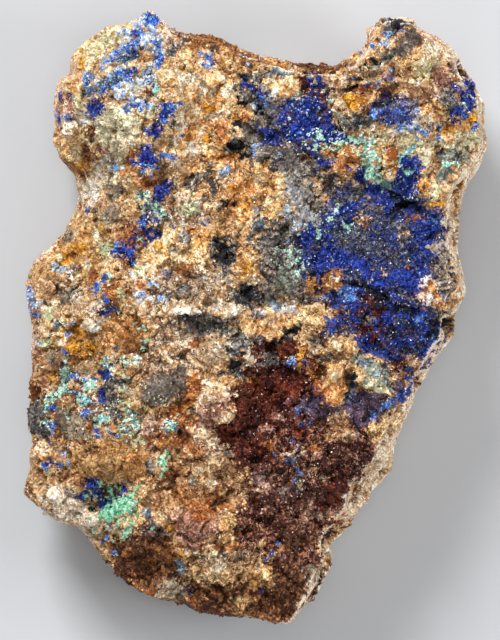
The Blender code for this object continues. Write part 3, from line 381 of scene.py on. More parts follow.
    ("white", [(426, 277, 4, 4), (428, 299, 3, 6), (421, 286, 3, 3), (438, 282, 3, 3)]),
    ("rust", [(430, 284, 4, 4), (434, 294, 5, 4), (424, 292, 3, 4), (436, 304, 3, 2)]),
    ("brown", [(422, 292, 3, 4), (434, 298, 3, 3)]),
    ("orange", [(434, 290, 5, 4), (424, 311, 5, 2.5)]),
    ("azure", [(416, 272, 3.5, 3), (444, 297, 3, 2), (434, 222, 5, 5)]),
    ("palemint", [(336, 209, 2.5, 7), (329, 220, 3, 2), (347, 227, 5, 2), (318, 231, 2.5, 3)]),
    ("palemint", [(319, 237, 3, 2), (284, 252, 6, 2.5, -25), (292, 262, 4, 5, -40), (297, 274, 2.5, 5)]),
    ("palemint", [(304, 268, 3, 2)]),
    ("nodule", [(331, 281, 14, 11, 0, 0.4)]),
    ("greygrain", [(302, 298, 16, 8)]),
    ("nodule", [(309, 285, 6, 10, 0, 0.3)]),
    ("sand", [(332, 280, 6, 4), (308, 278, 3, 3)]),
    ("rust", [(323, 284, 4, 5), (340, 286, 4, 4)]),
    ("black", [(312, 275, 8, 2.5, 0, -0.5), (315, 290, 2.5, 6)]),
    # Painted shadow: the dark line under the ledge of the blue field
    ("dark", [(356, 286, 12, 2.5, -15, -0.4), (384, 299, 22, 3.5, -22, -0.5), (440, 323, 20, 3, -8, -0.3)]),
    ("azure", [(348, 294, 9, 9), (342, 304, 4, 4), (330, 296, 8, 3), (350, 300, 4, 3)]),
    ("deepblue", [(356, 308, 8, 9), (408, 318, 24, 12), (424, 336, 18, 15), (398, 350, 18, 12)]),
    ("deepblue", [(366, 343, 12, 6)]),
    ("azure", [(422, 320, 6, 3.5), (426, 338, 6, 3)]),
    ("violetgrain", [(408, 334, 9, 5, -20), (396, 352, 8, 5), (432, 328, 5, 5), (386, 342, 7, 5)]),
    ("darkgrain", [(400, 322, 8, 4, -20), (414, 350, 6, 3), (396, 290, 10, 3, -25)]),
    ("maroon", [(372, 307, 15, 11), (378, 330, 12, 8), (360, 322, 6, 5)]),
    # Painted shadow: the three ovals here and the first of the next line lie along the ledge of the blue
    # field
    ("blackblue", [(354, 285, 15, 5, -16, -0.7), (380, 297, 19, 7, -28, -0.9), (404, 309, 15, 5, -14, -0.8)]),
    ("blackblue", [(440, 322, 17, 4, -8, -0.5), (366, 318, 8, 4), (392, 334, 9, 6), (414, 328, 8, 4, -20)]),
    ("blackblue", [(404, 350, 9, 5), (420, 344, 7, 4), (432, 334, 5, 4), (378, 346, 6, 4)]),
    ("greybrown", [(372, 320, 5, 5), (446, 331, 6, 3)]),
    ("rust", [(337, 304, 6, 5)]),
    ("sand", [(313, 317, 14, 11, 0, 0.3), (348, 343, 10, 10, 0, 0.25)]),
    ("fieldblue", [(336, 300, 10, 7), (330, 292, 8, 3), (344, 318, 8, 8)]),
    ("darkbrown", [(338, 312, 6, 3), (326, 304, 4, 3)]),
    ("tan", [(322, 322, 6, 7), (340, 350, 7, 4)]),
    ("fieldblue", [(334, 326, 9, 9)]),
    ("maroongrain", [(322, 340, 8, 6), (360, 332, 6, 5)]),
    ("greygrain", [(328, 357, 8, 5), (315, 342, 6, 5)]),
    ("tan", [(364, 370, 20, 14, -35, 0.2)]),
    ("greengrey", [(376, 378, 19, 12, -32, 0.2)]),
    ("slate", [(364, 364, 7, 3, 20)]),
    ("khaki", [(378, 386, 12, 5, -20)]),
    ("orange", [(355, 372, 6, 4, -35), (368, 357, 8, 3, -40)]),
    ("greengrey", [(358, 359, 7, 5), (384, 372, 10, 6, -25)]),
    ("dark", [(385, 369, 11, 2.5, -38, -0.3), (362, 363, 7, 1.5, 20), (350, 382, 5, 10, 0, -0.3)]),
    ("paleblue", [(374, 374, 2, 4, 30), (384, 381, 2, 2)]),
    ("orange", [(394, 376, 3, 4), (386, 392, 4, 2)]),
    ("pinkcream", [(411, 359, 6, 5)]),
    ("maroongrain", [(398, 366, 8, 7), (414, 376, 4, 8), (402, 358, 5, 4)]),
    ("deepblue", [(409, 376, 5, 8), (402, 393, 8, 7)]),
    ("bluegrey", [(349, 398, 7, 8)]),
    ("blackblue", [(353, 381, 5, 9)]),
    ("violetgrain", [(396, 384, 6, 5), (388, 400, 8, 5), (340, 412, 8, 5)]),
    # Left flank
    ("pinkcream", [(52, 245, 14, 4, 42), (36, 262, 9, 4, 55), (26, 282, 3, 9)]),
    ("greybrown", [(68, 236, 6, 8)]),
    ("brown", [(57, 243, 4, 2.5)]),
    ("ochre", [(78, 248, 10, 6), (64, 262, 8, 5)]),
    ("palegreen", [(87, 267, 3.5, 8), (74, 276, 4, 5), (57, 258, 4, 3), (49, 314, 5, 5)]),
    ("cream", [(66, 277, 11, 3), (47, 261, 4, 2), (84, 262, 3, 6), (48, 390, 6, 4), (58, 376, 6, 4)]),
    ("paleblue", [(53, 269, 5, 3), (64, 270, 6, 1.6)]),
    ("violet", [(69, 270, 2, 1.5), (74, 269, 1.5, 1.5)]),
    ("lightblue", [(30, 300, 5, 11), (40, 303, 3, 3)]),
    ("whiteblue", [(33, 306, 5, 4), (36, 341, 4, 5)]),
    ("azure", [(28, 291, 2.5, 4), (33, 315, 3, 4)]),
    ("brown", [(31, 312, 3, 2.5)]),
    ("greybrown", [(70, 296, 15, 12, 0, 0.2), (51, 358, 8, 8)]),
    ("peach", [(96, 302, 8, 7), (86, 306, 9, 6, 30)]),
    ("cream", [(90, 310, 7, 3), (104, 316, 4, 3)]),
    ("dark", [(57, 288, 2.5, 7, 10), (69, 298, 4, 3), (80, 296, 3, 2), (52, 360, 4, 4)]),
    ("cream", [(86, 294, 1.5, 10, -40), (79, 302, 4, 3)]),
    ("lightgrey", [(101, 303, 3, 3)]),
    ("rust", [(94, 278, 7, 4, 40), (112, 290, 7, 8), (111, 300, 5, 4)]),
    ("azure", [(97, 288, 7, 2.5, 50), (104, 280, 4, 2, 50), (107, 300, 1.8, 4)]),
    ("white", [(101, 288, 3, 2.5)]),
    ("deepblue", [(107, 311, 9, 2.5, 8)]),
    ("palemint", [(111, 277, 3, 1.5), (121, 312, 3, 2), (127, 306, 3, 2)]),
    ("cream", [(95, 321, 12, 10, 0, 0.3)]),
    ("white", [(95, 325, 5, 6)]),
    ("darkbrown", [(111, 319, 4, 3), (118, 271, 4, 2)]),
    ("nodule", [(124, 328, 22, 14), (104, 346, 12, 8)]),
    ("ochre", [(81, 330, 7, 6), (72, 346, 8, 7), (90, 347, 7, 6), (78, 354, 6, 4), (53, 376, 6, 4)]),
    ("lightblue", [(56, 323, 3, 3), (66, 334, 4, 3.5), (70, 322, 3, 2)]),
    ("sand", [(59, 338, 4, 6), (48, 326, 5, 6)]),
    ("palegreen", [(46, 342, 5, 6), (60, 322, 4, 4), (40, 326, 4, 5)]),
    ("cream", [(64, 344, 4, 5), (50, 334, 4, 3)]),
    ("whiteblue", [(142, 296, 6, 6), (132, 275, 4, 4), (165, 298, 5, 4), (152, 284, 4, 3)]),
    ("palegreen", [(121, 296, 4, 5), (140, 270, 6, 4)]),
    ("orange", [(132, 303, 9, 5), (124, 262, 6, 3)]),
    ("rust", [(128, 292, 4, 3), (140, 284, 4, 3), (150, 302, 3, 3)]),
    ("smoothtan", [(87, 367, 13, 7, 0, 0.3)]),
    ("azure", [(66, 353, 4, 2.5), (115, 349, 2, 4)]),
    ("khaki", [(65, 358, 4, 3)]),
    ("black", [(65, 364, 3.5, 1.8, 0, -0.4)]),
    ("brown", [(133, 347, 7, 5), (128, 328, 4, 4), (142, 354, 4, 5)]),
    ("mintmix", [(142, 329, 4, 3), (145, 343, 3, 4), (107, 362, 5, 6, -20), (66, 369, 4, 5)]),
    ("mintmix", [(124, 360, 4, 3), (132, 362, 5, 2), (138, 357, 2, 3)]),
    ("palegreen", [(127, 376, 4, 5), (124, 388, 4, 4), (34, 367, 3, 3)]),
    ("dark", [(113, 381, 9, 9), (104, 396, 7, 11, 0, -0.4), (113, 398, 7, 8)]),
    ("azure", [(74, 376, 5, 3), (92, 379, 5, 3), (79, 395, 3, 3)]),
    ("deepblue", [(82, 380, 4, 3), (104, 372, 8, 6), (101, 394, 3, 7), (65, 365, 2, 2)]),
    ("palemint", [(91, 385, 6, 6), (66, 384, 5, 9), (64, 370, 5, 4), (49, 397, 8, 4, 40)]),
    ("palemint", [(60, 391, 7, 3, 40)]),
    ("mintmix", [(84, 400, 5, 5), (53, 399, 4, 4), (64, 393, 4, 2)]),
    ("rust", [(82, 388, 3, 2.5), (72, 382, 3, 2)]),
    # Lower left flank and the hollow
    ("dark", [(36, 416, 9, 18), (46, 432, 8, 8)]),
    ("greybrown", [(72, 418, 15, 18), (80, 432, 14, 8)]),
    ("tan", [(68, 402, 6, 6), (78, 408, 5, 4)]),
    ("rust", [(90, 428, 4, 5), (128, 455, 11, 5)]),
    ("cream", [(112, 372, 5, 3), (118, 388, 3, 4)]),
    ("mintmix", [(47, 409, 4, 5), (47, 424, 6, 4), (97, 422, 3, 6), (104, 417, 5, 3), (134, 415, 5, 5)]),
    ("greygrain", [(115, 408, 9, 8), (116, 420, 8, 6)]),
    ("palegreen", [(122, 402, 3, 2), (129, 403, 3, 2), (132, 442, 5, 3), (141, 440, 5, 2)]),
    ("turquoise", [(86, 401, 4, 4), (102, 418, 3, 3)]),
    ("azure", [(89, 411, 5, 5), (55, 407, 3, 3), (53, 426, 3, 4), (98, 431, 2.5, 5), (108, 427, 2, 3)]),
    ("white", [(106, 428, 2, 2), (128, 376, 2.5, 3)]),
    ("orange", [(115, 426, 5, 3), (126, 454, 9, 6), (145, 455, 6, 4)]),
    ("azure", [(117, 435, 3, 2.5), (47, 466, 4, 5), (60, 467, 4, 2.5), (51, 444, 2, 2)]),
    ("deepblue", [(48, 463, 3, 3), (57, 466, 2, 2)]),
    ("mint", [(164, 459, 2.8, 8, -20), (160, 470, 2.5, 4)]),
    ("mintmix", [(129, 430, 5, 4, 30), (168, 424, 6, 9)]),
    ("darkbrown", [(90, 451, 8, 3), (66, 476, 10, 5), (82, 482, 6, 3)]),
    ("lightblue", [(61, 452, 6, 2.5, -20), (67, 461, 1.6, 4)]),
    ("pinkcream", [(63, 460, 4, 4), (150, 418, 9, 5), (40, 452, 5, 5)]),
    ("grey", [(31, 465, 4, 4), (152, 465, 6, 6), (68, 490, 6, 3)]),
    ("black", [(181, 428, 4, 6, 45, -0.5)]),
    ("smoothdark", [(164, 390, 24, 16, 10, 0.3), (180, 375, 9, 7)]),
    ("brown", [(30, 490, 5, 9), (52, 516, 7, 4)]),
    ("tan", [(37, 494, 5, 8), (92, 530, 10, 5, -40)]),
    ("cream", [(60, 501, 19, 11, -42), (82, 515, 24, 10, -36), (104, 532, 4, 9)]),
    # A pale vein along the lower left edge, in the paler wall kind as painted light where it faces away from
    # the key light
    ("wall", [(78, 509, 30, 9, -38), (73, 504, 10, 6, -38, 0.8)]),
    ("tan", [(98, 534, 5, 6)]),
    ("brown", [(54, 514, 7, 3, -35)]),
    ("lightblue", [(45, 482, 2, 3), (46, 508, 2, 3)]),
    ("darkbrown", [(102, 494, 20, 9, 0, -0.4)]),
    ("deepblue", [(95, 485, 9, 6), (80, 494, 8, 4), (106, 503, 8, 6), (124, 491, 5, 7), (95, 496, 5, 4)]),
    ("rust", [(104, 486, 3, 3), (97, 493, 2, 2), (103, 500, 2, 2)]),
    ("black", [(92, 509, 4, 4, 0, -0.5)]),
    ("mint", [(110, 514, 12, 6, 12), (125, 506, 9, 8), (134, 493, 3, 8, -30), (128, 531, 3, 5, -30)]),
    ("grey", [(113, 527, 5, 5)]),
    ("azure", [(108, 538, 3.5, 3.5), (110, 552, 3.5, 3.5)]),
    ("rust", [(115, 544, 3, 4), (124, 552, 5, 5), (150, 590, 6, 4)]),
    ("slate", [(146, 513, 5, 5, 45, 0.3), (151, 522, 3, 3)]),
    ("purplebrown", [(152, 530, 15, 6)]),
    ("tan", [(150, 484, 12, 7), (146, 496, 5, 5)]),
    ("warmbrown", [(148, 500, 8, 5), (158, 500, 8, 8)]),
    # Centre
    ("brown", [(183, 268, 9, 8)]),
    ("tan", [(218, 292, 5, 7)]),
    ("cream", [(212, 301, 10, 4)]),
    ("orange", [(206, 232, 10, 5), (244, 224, 9, 10)]),
    ("slate", [(258, 224, 7, 6)]),
    ("purplegrey", [(255, 211, 5, 5), (205, 221, 6, 3), (168, 272, 5, 6)]),
    ("grey", [(183, 290, 8, 6), (184, 238, 5, 7)]),
    ("whiteblue", [(203, 279, 4, 2.5), (152, 298, 3, 3)]),
    ("darkgrain", [(222, 250, 17, 17, 0, -0.4), (224, 268, 5, 11), (250, 236, 5, 5), (272, 240, 14, 10)]),
    ("black", [(222, 243, 8, 6), (224, 256, 6, 6)]),
    ("sand", [(248, 264, 12, 17), (165, 245, 14, 9), (154, 250, 8, 6)]),
    ("ochre", [(246, 268, 5, 7), (160, 246, 6, 4)]),
    ("cream", [(252, 280, 8, 5), (190, 309, 25, 5, 0, 0.2), (228, 310, 14, 8, 0, 0.3)]),
    ("white", [(188, 312, 19, 3.2, 0, 0.25), (231, 310, 7, 5)]),
    ("cream", [(178, 302, 12, 3), (196, 296, 6, 4), (172, 286, 4, 4)]),
    ("greengrey", [(234, 293, 5, 6), (284, 338, 3, 4)]),
    ("darkgrain", [(250, 295, 18, 9, 5, -0.4), (268, 302, 10, 6), (262, 286, 14, 2, 5, -0.4)]),
    ("black", [(246, 294, 6, 3), (262, 300, 5, 3)]),
    ("darkgrain", [(200, 322, 26, 6, 0, -0.3), (230, 330, 9, 6), (196, 331, 10, 6)]),
    ("dark", [(192, 322, 8, 3), (214, 323, 8, 3)]),
    ("lightgrey", [(284, 310, 11, 7), (275, 322, 6, 4), (260, 314, 7, 4)]),
    ("slate", [(276, 306, 7, 4)]),
    ("orange", [(250, 325, 20, 6), (266, 333, 14, 4), (286, 321, 12, 6)]),
    # Painted shadow along the upper edge of the maroon hollow
    ("black", [(289, 333, 14, 3.5, 25, -0.4), (272, 342, 7, 3, 60, -0.3)]),
    ("purplegrey", [(260, 338, 7, 4), (262, 346, 5, 4)]),
    ("maroon", [(264, 352, 8, 9), (282, 350, 10, 10)]),
    ("grey", [(272, 357, 8, 8, 0, 0.2), (263, 364, 4, 4)]),
    ("peach", [(214, 356, 17, 13, 0, 0.25), (196, 356, 8, 6)]),
    ("cream", [(217, 354, 11, 8), (249, 355, 5, 9, 0, 0.2), (206, 380, 5, 4), (226, 345, 6, 3)]),
    ("cream", [(180, 344, 6, 3)]),
    ("peach", [(200, 362, 8, 5), (174, 363, 7, 4), (163, 355, 6, 4)]),
    ("rust", [(241, 357, 4, 3), (194, 345, 4, 6), (246, 380, 12, 4), (188, 398, 5, 9)]),
    ("darkgrain", [(232, 366, 8, 9, 0, -0.3), (222, 373, 5, 4), (240, 376, 7, 4)]),
    ("azure", [(292, 361, 4, 2, 50), (306, 362, 2.5, 2.5)]),
    ("lightblue", [(294, 359, 2, 2.5)]),
    ("ochre", [(301, 354, 4, 6), (298, 366, 3, 4)]),
    ("peach", [(222, 404, 24, 18, 0, 0.3)]),
    ("cream", [(210, 389, 7, 6), (210, 398, 5, 6)]),
    ("pinkbrown", [(210, 412, 10, 8), (221, 402, 7, 8), (208, 424, 12, 6), (232, 392, 6, 5)]),
    ("nodule", [(333, 385, 12, 21, -12, 0.3)]),
    ("sand", [(238, 408, 9, 6), (335, 375, 4, 8, -12)]),
    ("peach", [(204, 436, 12, 6), (212, 456, 7, 4)]),
    ("orange", [(337, 374, 4, 8), (327, 368, 3, 4)]),
    ("rust", [(325, 392, 5, 5), (313, 374, 5, 14, 15)]),
    ("white", [(315, 352, 2.5, 2), (164, 339, 2.5, 2)]),
    ("orange", [(184, 409, 5, 5), (163, 442, 8, 3)]),
    # Lower part
    ("maroon", [(262, 405, 30, 20), (245, 432, 18, 14)]),
    ("redmaroon", [(276, 394, 22, 14), (300, 430, 10, 6)]),
    ("pinkbrown", [(350, 456, 9, 6), (278, 418, 7, 5), (268, 430, 7, 5), (263, 488, 12, 6, 30)]),
    ("purplebrown", [(262, 474, 10, 9, 30), (290, 492, 14, 8)]),
    ("greygrain", [(229, 453, 6, 4), (350, 481, 7, 2.5), (324, 500, 4, 4)]),
    ("tan", [(204, 477, 10, 9), (212, 464, 8, 5)]),
    ("cream", [(209, 482, 7, 5), (198, 470, 5, 4)]),
    ("brown", [(184, 496, 15, 9), (176, 474, 8, 8), (210, 500, 16, 8), (212, 545, 14, 8), (232, 546, 10, 6)]),
    ("rust", [(172, 414, 14, 7), (188, 424, 8, 8), (226, 506, 8, 6), (196, 448, 8, 5)]),
    ("warmbrown", [(190, 490, 6, 4), (180, 508, 8, 4)]),
    ("greengrey", [(193, 482, 3, 5)]),
    ("ochre", [(171, 527, 6, 3), (182, 555, 3, 6)]),
    ("rust", [(204, 515, 13, 9), (315, 446, 5, 5), (336, 520, 12, 6), (276, 447, 10, 5), (190, 505, 8, 5)]),
    ("sand", [(228, 526, 7, 14), (218, 573, 16, 9, 5, 0.5)]),
    ("maroon", [(334, 492, 12, 12), (342, 476, 10, 9), (322, 506, 8, 6)]),
    ("maroongrain", [(318, 530, 12, 16), (306, 560, 10, 14)]),
    ("pinkbrown", [(332, 516, 8, 3)]),
    ("peach", [(319, 469, 3, 3), (212, 540, 5, 9)]),
    ("maroongrain", [(304, 462, 14, 14), (284, 448, 8, 8)]),
    ("pinkbrown", [(310, 470, 6, 5), (282, 456, 4, 4), (316, 456, 5, 3)]),
    ("cream", [(292, 453, 4, 3), (222, 566, 7, 3), (324, 478, 3, 2), (304, 452, 2.5, 4)]),
    ("slate", [(296, 460, 4, 4)]),
    ("azure", [(300, 471, 2, 4, -10), (287, 462, 2, 2), (298, 443, 2, 2), (295, 482, 2, 2)]),
    ("khaki", [(302, 485, 3, 6), (214, 553, 8, 3)]),
    ("peach", [(350, 434, 9, 5), (337, 420, 9, 8), (318, 518, 7, 3)]),
    ("warmbrown", [(340, 424, 10, 8), (330, 436, 8, 5)]),
    ("violetgrain", [(359, 420, 4, 14), (304, 410, 10, 7)]),
    ("azure", [(388, 402, 12, 3, 35), (371, 414, 3, 4), (300, 411, 2.5, 2), (312, 421, 3, 1.6, 45)]),
    ("azure", [(300, 424, 2, 2)]),
    ("sand", [(390, 424, 12, 6, 30), (378, 432, 10, 10)]),
    ("slate", [(180, 566, 3.5, 10)]),
    ("greybrown", [(169, 590, 16, 11, 0, 0.2), (309, 572, 6, 8, 0, 0.1)]),
    ("ochrebrown", [(252, 600, 16, 6), (262, 580, 12, 8)]),
    ("sand", [(259, 544, 5, 3), (266, 573, 5, 7), (240, 600, 6, 3)]),
    ("azure", [(278, 543, 2.5, 2.5), (258, 568, 2.5, 2.5), (186, 590, 2, 2), (295, 546, 2, 2)]),
    ("azure", [(272, 554, 2, 2)]),
    ("violet", [(284, 560, 5, 4), (264, 590, 4, 3)]),
    ("darkbrown", [(286, 578, 12, 20), (210, 602, 16, 10), (270, 606, 16, 9), (238, 590, 10, 4)]),
    # Right and lower right walls as seen from above
    ("wall", [(441, 350, 22, 4, 42), (415, 393, 30, 4, 62), (380, 462, 34, 12, 62), (353, 508, 24, 4, 58)]),
    ("wall", [(331, 548, 12, 3, 58), (310, 590, 36, 4, 62), (484, 140, 4, 24)]),
    ("brown", [(440, 345, 12, 1.5, 45)]),
]

# Walls and back of the lump, painted by where they lie under the picture
WALL_PAINTING = [
    ("tan", [(50, 270, 60, 70), (60, 450, 60, 40)]),
    ("cream", [(75, 512, 50, 16, -38)]),
    # A pale vein along the lower left edge, in the paler wall kind as painted light where it faces away from
    # the key light
    ("wall", [(76, 513, 34, 12, -38)]),
    ("peach", [(70, 120, 50, 60), (100, 40, 60, 30)]),
    ("pinkcream", [(58, 120, 20, 30), (400, 20, 60, 30), (40, 330, 24, 40)]),
    ("brown", [(230, 45, 60, 24), (50, 400, 40, 50), (320, 62, 30, 20)]),
    ("ochrebrown", [(130, 590, 60, 50), (68, 160, 14, 24)]),
    ("darkbrown", [(210, 618, 70, 24)]),
    ("dark", [(38, 415, 16, 20)]),
]

# Small grains of another kind strewn over part of the face: kind, count, size and the oval
Strewn = namedtuple("Strewn", "kind count size oval")
STREWN = [
    # The white and cream grains here are pale grains of the rock and also stand in for glints, a painted
    # highlight
    Strewn("white", 260, 0.22, Oval(240, 300, 190, 260)),
    Strewn("cream", 300, 0.28, Oval(220, 330, 150, 200)),
    Strewn("white", 90, 0.20, Oval(290, 450, 80, 110)),
    Strewn("pinkbrown", 700, 0.24, Oval(300, 480, 70, 110)),
    Strewn("palemint", 170, 0.26, Oval(316, 124, 36, 36)),
    Strewn("palemint", 60, 0.36, Oval(324, 140, 24, 12)),
    Strewn("white", 60, 0.26, Oval(316, 124, 38, 38)),
    Strewn("palemint", 50, 0.30, Oval(344, 143, 22, 8)),
    Strewn("palemint", 70, 0.28, Oval(372, 165, 18, 32)),
    Strewn("palemint", 60, 0.26, Oval(290, 258, 20, 16)),
    Strewn("palemint", 40, 0.28, Oval(330, 225, 26, 16)),
    Strewn("palemint", 70, 0.28, Oval(405, 178, 18, 24)),
    Strewn("palemint", 80, 0.26, Oval(85, 390, 52, 40)),
    Strewn("palegreen", 160, 0.32, Oval(140, 420, 40, 30)),
    Strewn("palemint", 50, 0.28, Oval(150, 205, 16, 14)),
    Strewn("mint", 60, 0.32, Oval(115, 512, 28, 16)),
    Strewn("azure", 160, 0.30, Oval(140, 60, 50, 50)),
    Strewn("lightblue", 120, 0.30, Oval(135, 60, 45, 45)),
    Strewn("azure", 120, 0.26, Oval(330, 415, 70, 32)),
    Strewn("azure", 220, 0.30, Oval(385, 265, 60, 70)),
    Strewn("lightblue", 60, 0.26, Oval(380, 270, 60, 70)),
    Strewn("azure", 70, 0.28, Oval(95, 385, 40, 34)),
    Strewn("rust", 500, 0.30, Oval(250, 250, 150, 120)),
    Strewn("dark", 600, 0.30, Oval(230, 250, 150, 120)),
    Strewn("dark", 300, 0.30, Oval(80, 400, 60, 60)),
    Strewn("palegreen", 70, 0.28, Oval(190, 205, 46, 40)),
]

# The crusts: the kind that fills each one where the painting shows rock
CRUST_KINDS = {
    "azurite_field": "fieldblue",
    "azurite_lower_field": "deepblue",
    "azurite_upper_field": "deepblue",
    "azurite_lobe_patch": "deepblue",
    "azurite_crest_streak": "azure",
    "azurite_brow_streak": "azure",
    "azurite_seam_top": "deepblue",
    "azurite_seam_middle": "deepblue",
    "azurite_seam_lower": "deepblue",
    "metazeunerite_rim": "palemint",
    "metazeunerite_field_edge": "greengrey",
    "metazeunerite_seam": "mintmix",
    "metazeunerite_left_cluster": "mintmix",
    "metazeunerite_streak": "mint",
    "pocket_crust": "mint",
}
CRUST_NAMES = list(CRUST_KINDS)
NO_CRUST = -1

# Kinds that show bare where a crust lies over them
BARE_KINDS = ("wall", "black", "nodule")


# Colours and numbers

# The curve that colours on a screen follow: straight near black, a power above that
BRIGHTEST_BYTE = 255
STRAIGHT_END = 0.04045
STRAIGHT_SLOPE = 12.92
CURVE_OFFSET = 0.055
CURVE_POWER = 2.4


def place_of(x, y):
    """Place on the face, in millimetres, of a pixel of the picture."""
    return (x - PICTURE_X) * MM_PER_PIXEL, (PICTURE_Y - y) * MM_PER_PIXEL


def linear_part(part):
    """Linear strength of one part of a colour."""
    if part <= STRAIGHT_END:
        return part / STRAIGHT_SLOPE
    return ((part + CURVE_OFFSET) / (1 + CURVE_OFFSET)) ** CURVE_POWER


def linear(colour):
    """Linear red, green and blue of a colour in hexadecimal."""
    return [linear_part(part / BRIGHTEST_BYTE) for part in bytes.fromhex(colour)]


def ease(part):
    """Smooth rise from 0 to 1 over a part from 0 to 1."""
    return part * part * (3 - 2 * part)


def smoothstep(low, high, value):
    """0 at low, 1 at high, level past both and a smooth rise between."""
    return ease(np.clip((value - low) / (high - low), 0.0, 1.0))


# Random numbers and noise, the same at each run

CELL_STEPS = np.array([73856093, 19349663, 83492791], dtype=np.int64)
SEED_STEP = 2654435761
MIX_FACTOR = np.uint64(0x9E3779B97F4A7C15)
MIX_SHIFT = np.uint64(29)
WORD_BITS = 64
KEPT_BITS = 24


def cell_random(cells, seed):
    """One number from 0 to 1 for each cell, a row of three whole numbers."""
    code = np.bitwise_xor.reduce(cells * CELL_STEPS, axis=1) ^ np.int64(seed * SEED_STEP)
    code = code.astype(np.uint64) * MIX_FACTOR
    code ^= code >> MIX_SHIFT
    code *= MIX_FACTOR
    return (code >> np.uint64(WORD_BITS - KEPT_BITS)).astype(float) / 2 ** KEPT_BITS


def cell_swing(cells, seed):
    """One number from -1 to 1 for each cell."""
    return 2 * cell_random(cells, seed) - 1


def soft_noise(points, size, seed):
    """Smooth noise from -1 to 1 whose waves have about this size."""
    scaled = points / size
    corner = np.floor(scaled).astype(np.int64)
    share = ease(scaled - corner)
    total = np.zeros(len(points))
    for step in itertools.product((0, 1), repeat=3):
        weight = np.prod(np.where(step, share, 1 - share), axis=1)
        total += weight * cell_random(corner + np.array(step), seed)
    return total * 2 - 1


def layered_noise(points, size, seed, layers=3):
    """Noise with finer and weaker noise on top of it."""
    total = np.zeros(len(points))
    for layer in range(layers):
        total += soft_noise(points, size / 2 ** layer, seed + layer) / 2 ** layer
    return total


Grains = namedtuple("Grains", "cells middles border")


def grains_of(points, size, seed):
    """The grain that each point lies in: the nearest of one random middle for each cell."""
    scaled = points / size
    corner = np.floor(scaled).astype(np.int64)
    nearest = np.full(len(points), np.inf)
    second = np.full(len(points), np.inf)
    cells = corner.copy()
    middles = scaled.copy()
    for step in itertools.product((-1, 0, 1), repeat=3):
        cell = corner + np.array(step)
        middle = cell + np.stack([cell_random(cell, seed + axis) for axis in range(3)], axis=1)
        distance = np.linalg.norm(scaled - middle, axis=1)
        second = np.minimum(second, np.maximum(distance, nearest))
        closer = distance < nearest
        nearest[closer] = distance[closer]
        cells[closer] = cell[closer]
        middles[closer] = middle[closer]
    return Grains(cells, middles * size, (second - nearest) * size)


# Mesh of the rock: its longest edges on the face, the walls and the back, and its rounding

WELD_DISTANCE = 0.01
FACE_EDGE = 0.38
WALL_EDGE = 0.74
BACK_EDGE = 1.9
FACE_STARTS = 0.30
BACK_STARTS = -0.45
REFINING_ROUNDS = 9
ROUNDING_ROUNDS = 3
ROUNDING = 0.5
SHORTEST_NORMAL = 1e-12

Surface = namedtuple("Surface", "points normals triangles")


def welded_copy(node):
    """The node's mesh in millimetres, with its split corners joined."""
    body = bmesh.new()
    body.from_mesh(node.data)
    bmesh.ops.scale(body, vec=Vector((1, 1, 1)) / METRES, verts=body.verts)
    bmesh.ops.remove_doubles(body, verts=body.verts, dist=WELD_DISTANCE)
    body.normal_update()
    return body


def longest_allowed(edge):
    """The longest that an edge may be, by the way that the rock faces there."""
    facing = (edge.verts[0].normal.z + edge.verts[1].normal.z) / 2
    if facing > FACE_STARTS:
        return FACE_EDGE
    if facing < BACK_STARTS:
        return BACK_EDGE
    return WALL_EDGE


def refine(body):
    """Splits long edges, round by round, and then rounds the mesh a little."""
    for _ in range(REFINING_ROUNDS):
        long_edges = [edge for edge in body.edges if edge.calc_length() > longest_allowed(edge)]
        if not long_edges:
            break
        bmesh.ops.subdivide_edges(body, edges=long_edges, cuts=1, use_grid_fill=True)
        bmesh.ops.triangulate(body, faces=[face for face in body.faces if len(face.verts) > 3])
        body.normal_update()
    for _ in range(ROUNDING_ROUNDS):
        bmesh.ops.smooth_vert(
            body, verts=body.verts, factor=ROUNDING, use_axis_x=True, use_axis_y=True, use_axis_z=True
        )
    body.normal_update()


def surface_of(body):
    """The mesh as arrays."""
    points = np.array([vertex.co for vertex in body.verts], dtype=float)
    normals = np.array([vertex.normal for vertex in body.verts], dtype=float)
    triangles = np.array([[vertex.index for vertex in face.verts] for face in body.faces])
    return Surface(points, normals, triangles)


def triangle_normals(points, triangles):
    """Normals of the triangles, as long as twice their areas."""
    first, second, third = (points[triangles[:, corner]] for corner in range(3))
    return np.cross(second - first, third - first)


def unit(vectors):
    """The vectors at length 1."""
    lengths = np.linalg.norm(vectors, axis=1, keepdims=True)
    return vectors / np.maximum(lengths, SHORTEST_NORMAL)


def point_normals(points, triangles):
    """Unit normals of the points, averaged from the triangles round them."""
    flat = triangle_normals(points, triangles)
    total = np.zeros_like(points)
    for corner, axis in itertools.product(range(3), repeat=2):
        total[:, axis] += np.bincount(triangles[:, corner], flat[:, axis], len(points))
    return unit(total)


def neighbour_mean(values, triangles, rounds):
    """Values smoothed over the mesh, each round with the mean of the neighbours."""
    starts = triangles.ravel()
    ends = triangles[:, [1, 2, 0]].ravel()
    count = np.bincount(starts, minlength=len(values)).astype(float)
    smooth = values.astype(float)
    for _ in range(rounds):
        columns = [np.bincount(starts, column[ends], len(values)) / count for column in smooth.T]
        smooth = (smooth + np.stack(columns, axis=1)) / 2
    return smooth


# Which kind of mineral shows where

# How far the outlines of the ovals wander, at three sizes of noise, and how ragged they are
WARP_SIZES = (7.0, 2.2, 0.8)
WARP_SHARES = (0.34, 0.30, 0.26)
WARP_MOST = 1.6
RAGGED = 0.17
RISE_EDGE = (0.75, 1.15)
PAINT_SEED = 100
WALL_SEED = 140

# Where the walls' painting takes over, by the way that the rock faces
WALL_STARTS = 0.24
WALL_BLUR = 0.10

# How far the grains stray into their neighbours' ground
NEAR_WANDER = 0.20
FAR_WANDER = 1.2
FAR_SHARE = 0.07

